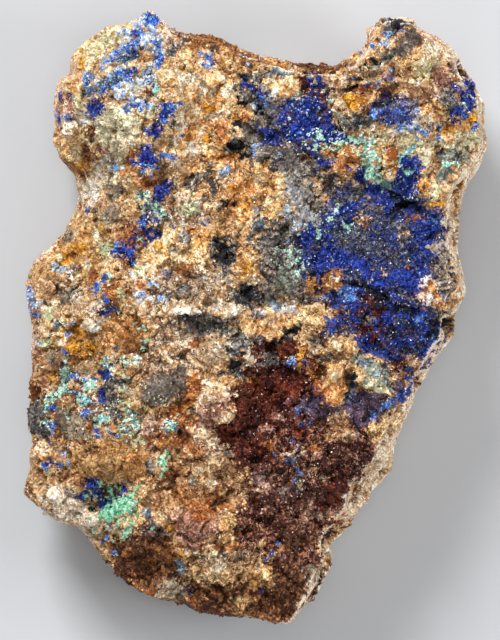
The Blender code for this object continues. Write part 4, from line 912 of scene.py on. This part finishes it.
# Stained zones of the back: a kind, and the noise past which it shows
BACK_ZONE_SIZE = 9.0
BACK_ZONE_SEED = 160
BACK_STAINED = -0.1
BACK_ZONES = [("rust", 0.42), ("khaki", -0.48)]

# Share of the rock under a crust that takes the crust's own kind
CRUST_SHARE = 0.35

# Seeds of the two colours that each point of the rock has, its tint and its fleck
Coat = namedtuple("Coat", "ragged wander crust patches grains")
TINT = Coat(ragged=65, wander=70, crust=75, patches=90, grains=66)
FLECK = Coat(ragged=200, wander=201, crust=215, patches=230, grains=206)


def dark_to_light(kind):
    """The kind's linear colours in the order of their brightness."""
    return sorted((linear(colour) for colour in kind.colours.split()), key=sum)


GRAIN_COLOURS = np.array([dark_to_light(kind) for kind in KINDS.values()])
COLOURS_PER_KIND = GRAIN_COLOURS.shape[1]
ROUGHNESS_OF_KIND = np.array([kind.rough for kind in KINDS.values()])


def picked_colours(kinds, choice):
    """One of the kind's colours for each, by a number from 0 to 1."""
    column = np.minimum((choice * COLOURS_PER_KIND).astype(int), COLOURS_PER_KIND - 1)
    return GRAIN_COLOURS[kinds, column]


def habit_mask(name):
    """For each kind whether it has this habit."""
    return np.array([kind.habit == name for kind in KINDS.values()])


def ovals_of(painting):
    """Each oval of a painting with the name of its kind, in order."""
    return [(name, Oval(*numbers)) for name, ovals in painting for numbers in ovals]


def oval_reach(oval, x, y):
    """How far each place is from the oval's middle: 0 there, 1 on its edge."""
    middle_x, middle_y = place_of(oval.x, oval.y)
    turn = math.radians(oval.turn)
    along = (x - middle_x) * math.cos(turn) + (y - middle_y) * math.sin(turn)
    across = (y - middle_y) * math.cos(turn) - (x - middle_x) * math.sin(turn)
    return np.hypot(along / (oval.half_width * MM_PER_PIXEL), across / (oval.half_height * MM_PER_PIXEL))


def warp_of(points, seed):
    """Sideways shift of the painting at each point, before the size of an oval scales it."""
    shifts = np.zeros((2, len(points)))
    for axis in range(2):
        for number, (size, share) in enumerate(zip(WARP_SIZES, WARP_SHARES)):
            shifts[axis] += share * soft_noise(points, size, seed + 2 * number + axis)
    return shifts


def warped_reach(oval, points, warp):
    """How far each point is from the oval's middle once the warp has bent the oval's outline."""
    swing = min(min(oval.half_width, oval.half_height) * MM_PER_PIXEL, WARP_MOST)
    return oval_reach(oval, points[:, 0] + warp[0] * swing, points[:, 1] + warp[1] * swing)


def painted_kinds(painting, first_kind, points, ragged, seed):
    """Number of the kind at each point, by the last oval of the painting that covers it."""
    warp = warp_of(points, seed)
    kinds = np.full(len(points), KIND_NAMES.index(first_kind))
    for name, oval in ovals_of(painting):
        kinds[warped_reach(oval, points, warp) < 1 + RAGGED * ragged] = KIND_NAMES.index(name)
    return kinds


def painted_rise(points):
    """How far the forms in the painting raise the face at each point."""
    warp = warp_of(points, PAINT_SEED)
    rise = np.zeros(len(points))
    for _, oval in ovals_of(PAINTING):
        if oval.rise:
            rise += oval.rise * (1 - smoothstep(*RISE_EDGE, warped_reach(oval, points, warp)))
    return rise


def wandered(grains, seed):
    """The grains' middles, each moved a little and a few of them far, so that kinds mix."""
    far = cell_random(grains.cells, seed) < FAR_SHARE
    distance = -np.log(1 - cell_random(grains.cells, seed + 1)) * np.where(far, FAR_WANDER, NEAR_WANDER)
    turn = 2 * math.pi * cell_random(grains.cells, seed + 2)
    shift = np.stack([distance * np.cos(turn), distance * np.sin(turn), np.zeros(len(turn))], axis=1)
    return grains.middles + shift


def kinds_of(middles, facing, ragged):
    """Number of the kind of each grain, from the painting of the face or that of the walls."""
    face = painted_kinds(PAINTING, FIRST_KIND, middles, ragged, PAINT_SEED)
    walls = painted_kinds(WALL_PAINTING, FIRST_WALL_KIND, middles, ragged, WALL_SEED)
    zone = layered_noise(middles, BACK_ZONE_SIZE, BACK_ZONE_SEED)
    for name, limit in BACK_ZONES:
        chosen = zone > limit if limit > 0 else zone < limit
        walls[chosen & (facing < BACK_STAINED)] = KIND_NAMES.index(name)
    return np.where(facing > WALL_STARTS + WALL_BLUR * ragged, face, walls)


def coat_kinds(fine, facing, crusts, coat):
    """Number of the kind at each point, with a crust's own kind in part of the rock under it."""
    kinds = kinds_of(wandered(fine, coat.wander), facing, cell_swing(fine.cells, coat.ragged))
    kept = habit_mask("azurite") | habit_mask("plate") | np.isin(KIND_NAMES, BARE_KINDS)
    changed = ~kept[kinds] & (cell_random(fine.cells, coat.crust) < CRUST_SHARE)
    for number, name in enumerate(CRUST_NAMES):
        kinds[changed & (crusts == number)] = KIND_NAMES.index(CRUST_KINDS[name])
    return kinds


# The crusts on the face

RAY_HEIGHT = 60.0
CRUST_REACH = 4.0


def crust_tree(node):
    """A crust's mesh for casting rays at, with the low and high corners of its box."""
    body = welded_copy(node)
    tree = BVHTree.FromBMesh(body)
    places = np.array([vertex.co.xy for vertex in body.verts])
    body.free()
    return tree, places.min(axis=0), places.max(axis=0)


def crusts_under(points):
    """For each point the number of the crust that covers it, and the height of that crust."""
    crusts = np.full(len(points), NO_CRUST)
    heights = np.zeros(len(points))
    for number, name in enumerate(CRUST_NAMES):
        tree, low, high = crust_tree(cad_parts[name])
        inside = np.all((points[:, :2] > low) & (points[:, :2] < high), axis=1)
        for index in np.flatnonzero(inside):
            x, y, z = points[index]
            hit = tree.ray_cast(Vector((x, y, RAY_HEIGHT)), Vector((0, 0, -1)))[0]
            if hit is not None and z < hit.z < z + CRUST_REACH:
                crusts[index] = number
                heights[index] = hit.z
    return crusts, heights


# The rock itself

# Seeds, and the steps from a grain's seed to those of its facet's tilt and height
CLAST_SEED = 10
CLAST_WARP_SEED = 40
CHIP_SEED = 50
FINE_SEED = 60
BUMP_SEED = 90
PIT_SEED = 100
TILT_STEP = 10
LIFT_STEP = 20

# Broken pieces of rock, their uneven outlines and the gaps between them
CLAST = 3.1
CLAST_HEIGHT = 0.20
CLAST_WARP = 0.45
CLAST_WARP_SIZE = 1.3
CLAST_WARP_LAYERS = 2
GAP_WIDTH = 0.45
GAP_DEPTH = 0.11

# Chips, bumps, fine grains and pits, which only rough kinds have
FACET_SLOPE = 0.34
CHIP = 1.15
CHIP_HEIGHT = 0.16
BUMP = 0.55
BUMP_HEIGHT = 0.12
FINE_GRAIN = 0.42
PIT_SIZE = 1.7
PIT_DEPTH = 0.50
PIT_RANGE = (0.44, 1.2)
PIT_ROUGHNESS = 0.5
ROUGHNESS_ROUNDS = 3

# Ranges of facing, from 0 on a wall to 1 on the level face: where the relief is calmer, where the
# walls swell, and where the painting's own rises count
WALL_CALM = 0.8
CALM_RANGE = (0.45, 0.15)
WALL_SWELL = 0.42
SWELL_RANGE = (0.75, 0.35)
RISE_RANGE = (0.1, 0.5)

# The rock under a crust: how far below its tips, and how much of the relief is left there
CRUST_SINK = 0.42
CRUST_RELIEF = 0.5
LOWEST = 0.0
SIDES_START = 0.64

Rock = namedtuple("Rock", "surface kinds crusts facing clasts fine")


def facets(points, grains, height, seed):
    """Height of grains that each are one flat, tilted facet."""
    tilt = np.stack([cell_swing(grains.cells, seed + TILT_STEP + axis) for axis in range(3)], axis=1)
    slope = (tilt * (points - grains.middles)).sum(axis=1)
    return height * cell_swing(grains.cells, seed + LIFT_STEP) + FACET_SLOPE * slope


def clasts_of(points):
    """The broken pieces of rock that the lump is made of, with uneven outlines."""
    seeds = [CLAST_WARP_SEED + axis for axis in range(3)]
    shifts = [layered_noise(points, CLAST_WARP_SIZE, seed, CLAST_WARP_LAYERS) for seed in seeds]
    return grains_of(points + CLAST_WARP * np.stack(shifts, axis=1), CLAST, CLAST_SEED)


def relief_of(points, clasts, rough):
    """How far the fine forms stand out of the rock along its normal."""
    height = facets(points, clasts, CLAST_HEIGHT, CLAST_SEED)
    height -= GAP_DEPTH * smoothstep(GAP_WIDTH, 0, clasts.border)
    height += facets(points, grains_of(points, CHIP, CHIP_SEED), CHIP_HEIGHT, CHIP_SEED)
    height += BUMP_HEIGHT * soft_noise(points, BUMP, BUMP_SEED)
    pits = smoothstep(*PIT_RANGE, layered_noise(points, PIT_SIZE, PIT_SEED))
    return height * rough - pits * PIT_DEPTH * np.maximum(rough - PIT_ROUGHNESS, 0)


def lift_of(base, clasts, rough):
    """How far each point of the rock moves out along its normal."""
    facing = base.normals[:, 2]
    level = np.abs(facing)
    lift = relief_of(base.points, clasts, rough) * (1 - WALL_CALM * smoothstep(*CALM_RANGE, level))
    lift += painted_rise(base.points) * smoothstep(*RISE_RANGE, facing)
    lift += WALL_SWELL * smoothstep(*SWELL_RANGE, level)
    return lift


def build_rock():
    """The fine mesh of the rock with its relief, and the kinds of mineral on it."""
    body = welded_copy(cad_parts["matrix"])
    refine(body)
    base = surface_of(body)
    body.free()
    facing = base.normals[:, 2]
    fine = grains_of(base.points, FINE_GRAIN, FINE_SEED)
    crusts, crust_heights = crusts_under(base.points)
    kinds = coat_kinds(fine, facing, crusts, TINT)
    roughness = ROUGHNESS_OF_KIND[kinds][:, None]
    rough = neighbour_mean(roughness, base.triangles, ROUGHNESS_ROUNDS)[:, 0]
    clasts = clasts_of(base.points)
    lift = lift_of(base, clasts, rough)
    points = base.points + base.normals * lift[:, None]
    under_tips = crust_heights - CRUST_SINK + lift * CRUST_RELIEF
    points[:, 2] = np.where(crusts == NO_CRUST, points[:, 2], np.maximum(points[:, 2], under_tips))
    points[:, 2] = np.maximum(points[:, 2], LOWEST)
    surface = Surface(points, point_normals(points, base.triangles), base.triangles)
    return Rock(surface, kinds, crusts, facing, clasts, fine)


# Colours of the rock: patches, how far the tone swings with each form, and painted shade and highlight from
# the relief
PATCH_SIZE = 1.9
PATCH_LAYERS = 3
PATCH_SPREAD = 1.05
GRAIN_SHARE = 0.85
TONE_SIZE = 6.0
TONE_SEED = 100
TONE_SWING = 0.12
MOTTLE_SIZE = 1.7
MOTTLE_SEED = 104
MOTTLE_SWING = 0.20
CLAST_SHADE_SEED = 108
CLAST_SWING = 0.15
GAP_SHADE_DARKNESS = 0.14
GRAIN_SHADE_SEED = 68
GRAIN_SWING = 0.20
CAVITY_ROUNDS = 6
CAVITY_DEPTH = 0.16
CAVITY_SHADE_DARKEST = 0.38
RIDGE_WEAR_AND_HIGHLIGHT = 0.16


def rock_tone(rock):
    """Lightness of each point of the rock: uneven, with painted shade in cavities and along the gaps between
    clasts, and paler on ridges as wear and painted highlight.
    """
    points = rock.surface.points
    tone = 1 + TONE_SWING * layered_noise(points, TONE_SIZE, TONE_SEED)
    tone *= 1 + MOTTLE_SWING * layered_noise(points, MOTTLE_SIZE, MOTTLE_SEED)
    tone *= 1 + CLAST_SWING * cell_swing(rock.clasts.cells, CLAST_SHADE_SEED)
    # Painted shade along the gaps between clasts
    tone *= 1 - GAP_SHADE_DARKNESS * smoothstep(GAP_WIDTH, 0, rock.clasts.border)
    tone *= 1 + GRAIN_SWING * cell_swing(rock.fine.cells, GRAIN_SHADE_SEED)
    # Painted shade in cavities, and painted highlight with wear on ridges
    smooth = neighbour_mean(points, rock.surface.triangles, CAVITY_ROUNDS)
    height = ((points - smooth) * rock.surface.normals).sum(axis=1)
    tone *= 1 - CAVITY_SHADE_DARKEST * smoothstep(0.0, CAVITY_DEPTH, -height)
    tone *= 1 + RIDGE_WEAR_AND_HIGHLIGHT * smoothstep(0.0, CAVITY_DEPTH, height)
    return tone


def coat_colours(rock, kinds, tone, coat):
    """Colour of each point of the rock, alike over a patch and a little apart from grain to grain."""
    patches = layered_noise(rock.surface.points, PATCH_SIZE, coat.patches, PATCH_LAYERS)
    patches += GRAIN_SHARE * cell_swing(rock.fine.cells, coat.grains)
    choice = smoothstep(-PATCH_SPREAD, PATCH_SPREAD, patches)
    return np.clip(picked_colours(kinds, choice) * tone[:, None], 0, 1)


# Making objects

def add_colours(mesh, name, colours):
    """Stores a linear colour for each point of the mesh."""
    attribute = mesh.attributes.new(name, "FLOAT_COLOR", "POINT")
    values = np.ones((len(colours), 4), dtype=np.float32)
    values[:, :3] = colours
    attribute.data.foreach_set("color", values.ravel())


def new_object(name, points, triangles, tints, finish):
    """Object made from arrays in millimetres, with its own tints, that rides on the root."""
    mesh = bpy.data.meshes.new(name)
    mesh.vertices.add(len(points))
    mesh.vertices.foreach_set("co", (points * METRES).astype(np.float32).ravel())
    mesh.loops.add(triangles.size)
    mesh.loops.foreach_set("vertex_index", triangles.astype(np.int32).ravel())
    mesh.polygons.add(len(triangles))
    mesh.polygons.foreach_set("loop_start", np.arange(0, triangles.size, 3, dtype=np.int32))
    mesh.update(calc_edges=True)
    mesh.validate()
    add_colours(mesh, "tint", tints)
    mesh.shade_flat()
    made = bpy.data.objects.new(name, mesh)
    bpy.context.scene.collection.objects.link(made)
    mesh.materials.append(finish.make_material())
    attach(made, "root")
    return made


def make_rock(rock):
    """The rock in place of the matrix: one mesh of the face and one of the sides and the back."""
    tone = rock_tone(rock)
    tints = coat_colours(rock, rock.kinds, tone, TINT)
    fleck_kinds = coat_kinds(rock.fine, rock.facing, rock.crusts, FLECK)
    flecks = coat_colours(rock, fleck_kinds, tone, FLECK)
    triangles = rock.surface.triangles
    steep = rock.facing[triangles].mean(axis=1) < SIDES_START
    for name, chosen in (("rock_face", ~steep), ("rock_sides", steep)):
        used, corners = np.unique(triangles[chosen], return_inverse=True)
        corners = corners.reshape(-1, 3)
        made = new_object(name, rock.surface.points[used], corners, tints[used], ROCK_FINISH)
        add_colours(made.data, "fleck", flecks[used])
        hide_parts("matrix")


# Crystals and grains

Shape = namedtuple("Shape", "corners triangles")

TETRAHEDRON_SIZE = 0.8
TETRAHEDRON = Shape(
    np.array([(1, 1, 1), (-1, -1, 1), (-1, 1, -1), (1, -1, -1)]) * TETRAHEDRON_SIZE,
    np.array([(0, 2, 1), (0, 1, 3), (0, 3, 2), (1, 2, 3)]),
)
OCTAHEDRON = Shape(
    np.array([(1, 0, 0), (0, 1, 0), (-1, 0, 0), (0, -1, 0), (0, 0, 1), (0, 0, -1)]),
    np.array([(0, 1, 4), (1, 2, 4), (2, 3, 4), (3, 0, 4), (1, 0, 5), (2, 1, 5), (3, 2, 5), (0, 3, 5)]),
)
SQUARE = [(-1, -1), (1, -1), (1, 1), (-1, 1)]
PLATE_ENDS = [(0, 2, 1), (0, 3, 2), (4, 5, 6), (4, 6, 7)]
PLATE_SIDES = [
    triangle
    for start, end in ((0, 1), (1, 2), (2, 3), (3, 0))
    for triangle in ((start, end, end + 4), (start, end + 4, start + 4))
]
PLATE = Shape(
    np.array([(x, y, z) for z in (-1, 1) for x, y in SQUARE]),
    np.array(PLATE_ENDS + PLATE_SIDES),
)

# A habit: grains for each square millimetre, smallest and largest half length, the half sizes
# across and along as shares of it, how far they lean from the normal, how far they stand out,
# and how much their corners differ
Habit = namedtuple("Habit", "shape density smallest largest width depth length lean stand uneven")
HABITS = {
    "rock": Habit(TETRAHEDRON, 5.6, 0.08, 0.20, 1.0, 0.85, 0.8, 1.5, 0.0, 0.35),
    "glitter": Habit(TETRAHEDRON, 10.0, 0.08, 0.18, 1.0, 0.8, 0.9, 1.5, 0.1, 0.25),
    "azurite": Habit(OCTAHEDRON, 17.0, 0.13, 0.30, 0.62, 0.5, 1.1, 0.45, 0.25, 0.12),
    "plate": Habit(PLATE, 15.0, 0.09, 0.22, 1.0, 1.0, 0.34, 0.6, 0.3, 0.06),
}
DENSEST = max(habit.density for habit in HABITS.values())
SPREAD = 2.2
CORNER_SWING = 0.3
GRAINS_START = 0.0
FEWEST_GRAINS = 0.3

# Strewn grains: candidate places for each square millimetre, and the range of their sizes
STREWN_DENSITY = 10.0
STREWN_SMALLEST = 0.7
STREWN_RANGE = 0.6

GRAIN_SEED = 7
STREWN_SEED = 8

# Names of the pieces with the loose grains of each habit
FREE_PIECES = {
    "rock": "rock_grains",
    "glitter": "dark_grains",
    "azurite": "azurite_specks",
    "plate": "metazeunerite_specks",
}
STREWN_PIECES = {
    "rock": "pale_grains",
    "azurite": "azurite_strewn",
    "plate": "metazeunerite_strewn",
}

Places = namedtuple("Places", "points normals corners")


def places_on_face(rock, density, random):
    """Random places on the rock's upper side, with their normals and nearest corners."""
    surface = rock.surface
    upper = rock.facing[surface.triangles].min(axis=1) > GRAINS_START
    triangles = surface.triangles[upper]
    areas = np.linalg.norm(triangle_normals(surface.points, triangles), axis=1) / 2
    count = int(areas.sum() * density)
    picked = triangles[random.choice(len(triangles), count, p=areas / areas.sum())]
    shares = random.random((count, 2))
    over = shares.sum(axis=1) > 1
    shares[over] = 1 - shares[over]
    weights = np.column_stack([1 - shares.sum(axis=1), shares])
    points = (surface.points[picked] * weights[:, :, None]).sum(axis=1)
    normals = (surface.normals[picked] * weights[:, :, None]).sum(axis=1)
    return Places(points, unit(normals), picked[np.arange(count), weights.argmax(axis=1)])


def part_of(places, chosen):
    """The chosen ones of the places."""
    return Places(*(values[chosen] for values in places))


def turned_axes(normals, lean, random):
    """Three axes for each grain, the last near the normal, leaning by a random amount."""
    upright = unit(normals + lean * random.normal(size=normals.shape))
    side = unit(np.cross(upright, random.normal(size=normals.shape)))
    return np.stack([side, np.cross(upright, side), upright], axis=1)


def grain_sizes(habit, count, random):
    """Random half lengths, small ones more common."""
    return habit.smallest + (habit.largest - habit.smallest) * random.random(count) ** SPREAD


def grow(name, habit_name, places, kinds, sizes, random):
    """One object with a crystal or grain of this habit at each place."""
    habit = HABITS[habit_name]
    shape = habit.shape
    count = len(sizes)
    corner_count = len(shape.corners)
    proportions = np.array([habit.width, habit.depth, habit.length])
    uneven = 1 + habit.uneven * random.normal(size=(count, corner_count, 3))
    corners = shape.corners * proportions * uneven * sizes[:, None, None]
    offsets = np.einsum("gci,gij->gcj", corners, turned_axes(places.normals, habit.lean, random))
    middles = places.points + places.normals * (sizes * habit.stand)[:, None]
    points = (middles[:, None] + offsets).reshape(-1, 3)
    points[:, 2] = np.maximum(points[:, 2], LOWEST)
    first_corner = np.arange(count)[:, None, None] * corner_count
    triangles = (shape.triangles + first_corner).reshape(-1, 3)
    tints = picked_colours(kinds, random.random(count))
    swing = 1 + CORNER_SWING * (2 * random.random((count, corner_count, 1)) - 1)
    tints = np.clip(tints[:, None] * swing, 0, 1).reshape(-1, 3)
    return new_object(name, points, triangles, tints, FINISHES[habit_name])


def grow_crust(name, places, kinds, random):
    """The crystals of one crust, in place of its node: azurite, or green plates."""
    habit_name = "azurite" if name.startswith("azurite") else "plate"
    habit = HABITS[habit_name]
    chosen = random.random(len(kinds)) < habit.density / DENSEST
    sizes = grain_sizes(habit, chosen.sum(), random)
    made = grow(name + "_crystals", habit_name, part_of(places, chosen), kinds[chosen], sizes, random)
    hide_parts(name)


def grow_face(rock):
    """Crystals and grains over the whole face, the crusts first."""
    random = np.random.default_rng(GRAIN_SEED)
    places = places_on_face(rock, DENSEST, random)
    kinds = rock.kinds[places.corners]
    crusts = rock.crusts[places.corners]
    chance = random.random(len(kinds))
    for number, name in enumerate(CRUST_NAMES):
        grow_crust(name, part_of(places, crusts == number), kinds[crusts == number], random)
    coverage = np.clip(ROUGHNESS_OF_KIND[kinds], FEWEST_GRAINS, 1.0)
    for habit_name, piece_name in FREE_PIECES.items():
        habit = HABITS[habit_name]
        chosen = (crusts == NO_CRUST) & habit_mask(habit_name)[kinds]
        chosen &= chance < habit.density / DENSEST * coverage
        sizes = grain_sizes(habit, chosen.sum(), random)
        grow(piece_name, habit_name, part_of(places, chosen), kinds[chosen], sizes, random)


def grow_strewn(rock):
    """The small grains strewn over parts of the face, joined in one object for each habit."""
    random = np.random.default_rng(STREWN_SEED)
    candidates = places_on_face(rock, STREWN_DENSITY, random)
    groups = {habit_name: [] for habit_name in STREWN_PIECES}
    for strewn in STREWN:
        reach = oval_reach(strewn.oval, candidates.points[:, 0], candidates.points[:, 1])
        inside = np.flatnonzero(reach < 1)
        picks = random.choice(inside, min(strewn.count, len(inside)), replace=False)
        kinds = np.full(len(picks), KIND_NAMES.index(strewn.kind))
        sizes = np.full(len(picks), strewn.size / 2)
        groups[KINDS[strewn.kind].habit].append((picks, kinds, sizes))
    for habit_name, piece_name in STREWN_PIECES.items():
        picks, kinds, sizes = (np.concatenate(column) for column in zip(*groups[habit_name]))
        sizes = sizes * (STREWN_SMALLEST + STREWN_RANGE * random.random(len(sizes)))
        grow(piece_name, habit_name, part_of(candidates, picks), kinds, sizes, random)


# Materials

FLECK_EDGE = 0.03
BUMP_STRENGTH = 0.7
BUMP_GRAINS = 3.0
BUMP_DETAIL = 4.0
BUMP_ROUGHNESS = 0.65

# Range of roughness, size of the fine grains, how far their shade swings, height of the bump,
# specular level, index of refraction and share of the grains that take the second colour
Look = namedtuple("Look", "roughness grain swing bump specular index flecks", defaults=(0,))


def connect(owner, node, values):
    """Sets inputs of a material's or world's node, each to a value or to the output linked to it."""
    for name, value in values.items():
        if isinstance(value, bpy.types.NodeSocket):
            owner.node_tree.links.new(value, node.inputs[name])
        else:
            node.inputs[name].default_value = value


def new_node(material, kind, values, **settings):
    """New node of this kind with its settings and the values of its inputs."""
    node = material.node_tree.nodes.new("ShaderNode" + kind)
    for name, setting in settings.items():
        setattr(node, name, setting)
    connect(material, node, values)
    return node


def ranged(material, source, low, high, from_low=0.0, from_high=1.0):
    """Output that maps a value to the range from low to high."""
    values = {"Value": source, "From Min": from_low, "From Max": from_high, "To Min": low, "To Max": high}
    return new_node(material, "MapRange", values).outputs["Result"]


def stored_colour(material, name):
    """Output with a colour that the mesh stores."""
    return new_node(material, "Attribute", {}, attribute_name=name).outputs["Color"]


def flecked_colour(material, chance, share):
    """The tint of the mesh, with its second colour in a share of the grains."""
    tint = stored_colour(material, "tint")
    if not share:
        return tint
    factor = ranged(material, chance, 0, 1, 1 - share - FLECK_EDGE, 1 - share + FLECK_EDGE)
    values = {"Factor": factor, "A": tint, "B": stored_colour(material, "fleck")}
    return new_node(material, "Mix", values, data_type="RGBA").outputs["Result"]


def fine_bump(material, place, look):
    """Output with a normal roughened by fine noise."""
    scale = 1 / (look.grain * BUMP_GRAINS * METRES)
    values = {"Vector": place, "Scale": scale, "Detail": BUMP_DETAIL, "Roughness": BUMP_ROUGHNESS}
    noise = new_node(material, "TexNoise", values)
    values = {"Strength": BUMP_STRENGTH, "Distance": look.bump * METRES, "Height": noise.outputs["Fac"]}
    return new_node(material, "Bump", values).outputs["Normal"]


@functools.cache
def tinted_material(name, look):
    """Material that takes the tint of the mesh, with fine grains that differ in shade and gloss."""
    material = bpy.data.materials.new(name)
    material.use_nodes = True
    place = new_node(material, "TexCoord", {}).outputs["Object"]
    cells = new_node(material, "TexVoronoi", {"Vector": place, "Scale": 1 / (look.grain * METRES)})
    chances = new_node(material, "SeparateColor", {"Color": cells.outputs["Color"]}).outputs
    colour = flecked_colour(material, chances["Red"], look.flecks)
    lightness = ranged(material, chances["Green"], 1 - look.swing, 1 + look.swing)
    shade = new_node(material, "VectorMath", {"Vector": colour, "Scale": lightness}, operation="SCALE")
    connect(material, material.node_tree.nodes["Principled BSDF"], {
        "Base Color": shade.outputs["Vector"],
        "Roughness": ranged(material, chances["Blue"], *look.roughness),
        "Normal": fine_bump(material, place, look),
        "Specular IOR Level": look.specular,
        "IOR": look.index,
    })
    return material


def rock_material():
    """Dull granular rock."""
    look = Look((0.4, 0.95), grain=0.24, swing=0.42, bump=0.5, specular=0.3, index=1.5, flecks=0.36)
    return tinted_material("rock", look)


def grain_material():
    """Grains of the rock, a little glossier than its ground."""
    look = Look((0.3, 0.75), grain=0.2, swing=0.15, bump=0.03, specular=0.28, index=1.5)
    return tinted_material("rock_grains", look)


def glitter_material():
    """Small glossy grains in the maroon rock."""
    look = Look((0.12, 0.45), grain=0.2, swing=0.15, bump=0.02, specular=0.35, index=1.6)
    return tinted_material("dark_grains", look)


def azurite_material():
    """Bright glassy azurite."""
    look = Look((0.12, 0.4), grain=0.2, swing=0.15, bump=0.02, specular=0.5, index=1.75)
    return tinted_material("azurite", look)


def metazeunerite_material():
    """Waxy plates of metazeunerite."""
    look = Look((0.25, 0.5), grain=0.2, swing=0.08, bump=0.02, specular=0.5, index=1.62)
    return tinted_material("metazeunerite", look)


# What a piece is made of, and a slot name for it that nothing here reads: of the rock, and of each habit's
# grains
Finish = namedtuple("Finish", "make_material slot")
ROCK_FINISH = Finish(rock_material, "matrix")
FINISHES = {
    "rock": Finish(grain_material, "matrix"),
    "glitter": Finish(glitter_material, "matrix"),
    "azurite": Finish(azurite_material, "azurite"),
    "plate": Finish(metazeunerite_material, "metazeunerite"),
}


# Floor, light and camera

FLOOR_SIZE = 6.0
FLOOR_COLOUR = "c4c6c9"
FLOOR_ROUGHNESS = 0.8
FLOOR_SPECULAR = 0.2
WORLD_COLOUR = "e4e6ea"
WORLD_STRENGTH = 0.28
CAMERA_DISTANCE = 1.2
FACE_LEVEL = 0.021
PICTURE_WIDTH = 500
PICTURE_HEIGHT = 640
SENSOR = 36.0

# Soft lights: place and width in metres, power in watts
Light = namedtuple("Light", "name x y z width power")
LIGHTS = [
    Light("key_light", -0.24, 0.52, 0.48, 0.25, 6.2),
    Light("side_light", 0.55, -0.10, 0.36, 0.30, 2.2),
    Light("low_light", -0.10, -0.60, 0.40, 0.45, 0.9),
    Light("top_light", 0.0, 0.05, 0.95, 0.30, 1.0),
]


def make_floor():
    """Plain pale floor."""
    mesh = bpy.data.meshes.new("floor")
    corners = [(x * FLOOR_SIZE / 2, y * FLOOR_SIZE / 2, 0) for x, y in SQUARE]
    mesh.from_pydata(corners, [], [(0, 1, 2, 3)])
    floor = bpy.data.objects.new("floor", mesh)
    bpy.context.scene.collection.objects.link(floor)
    material = bpy.data.materials.new("floor")
    material.use_nodes = True
    connect(material, material.node_tree.nodes["Principled BSDF"], {
        "Base Color": (*linear(FLOOR_COLOUR), 1),
        "Roughness": FLOOR_ROUGHNESS,
        "Specular IOR Level": FLOOR_SPECULAR,
    })
    mesh.materials.append(material)


def make_world():
    """Even pale light from all sides."""
    world = bpy.data.worlds.new("world")
    world.use_nodes = True
    values = {"Color": (*linear(WORLD_COLOUR), 1), "Strength": WORLD_STRENGTH}
    connect(world, world.node_tree.nodes["Background"], values)
    bpy.context.scene.world = world


def make_lights():
    """The soft lights, all aimed at the specimen."""
    for light in LIGHTS:
        data = bpy.data.lights.new(light.name, "AREA")
        data.energy = light.power
        data.size = light.width
        lamp = bpy.data.objects.new(light.name, data)
        lamp.location = (light.x, light.y, light.z)
        lamp.rotation_euler = (-Vector(lamp.location)).to_track_quat("-Z", "Y").to_euler()
        bpy.context.scene.collection.objects.link(lamp)


def make_camera():
    """Camera over the face, looking straight down, at the scale of the picture."""
    data = bpy.data.cameras.new("camera")
    pixels_per_metre = 1 / (MM_PER_PIXEL * METRES)
    data.sensor_width = SENSOR
    data.lens = pixels_per_metre * SENSOR * (CAMERA_DISTANCE - FACE_LEVEL) / PICTURE_HEIGHT
    camera = bpy.data.objects.new("camera", data)
    x, y = place_of(PICTURE_WIDTH / 2, PICTURE_HEIGHT / 2)
    camera.location = (x * METRES, y * METRES, CAMERA_DISTANCE)
    bpy.context.scene.collection.objects.link(camera)
    bpy.context.scene.camera = camera


def main():
    """Builds the scene."""
    rock = build_rock()
    make_rock(rock)
    grow_face(rock)
    grow_strewn(rock)
    make_floor()
    make_world()
    make_lights()
    make_camera()
    bpy.context.scene.view_settings.view_transform = "Standard"


main()
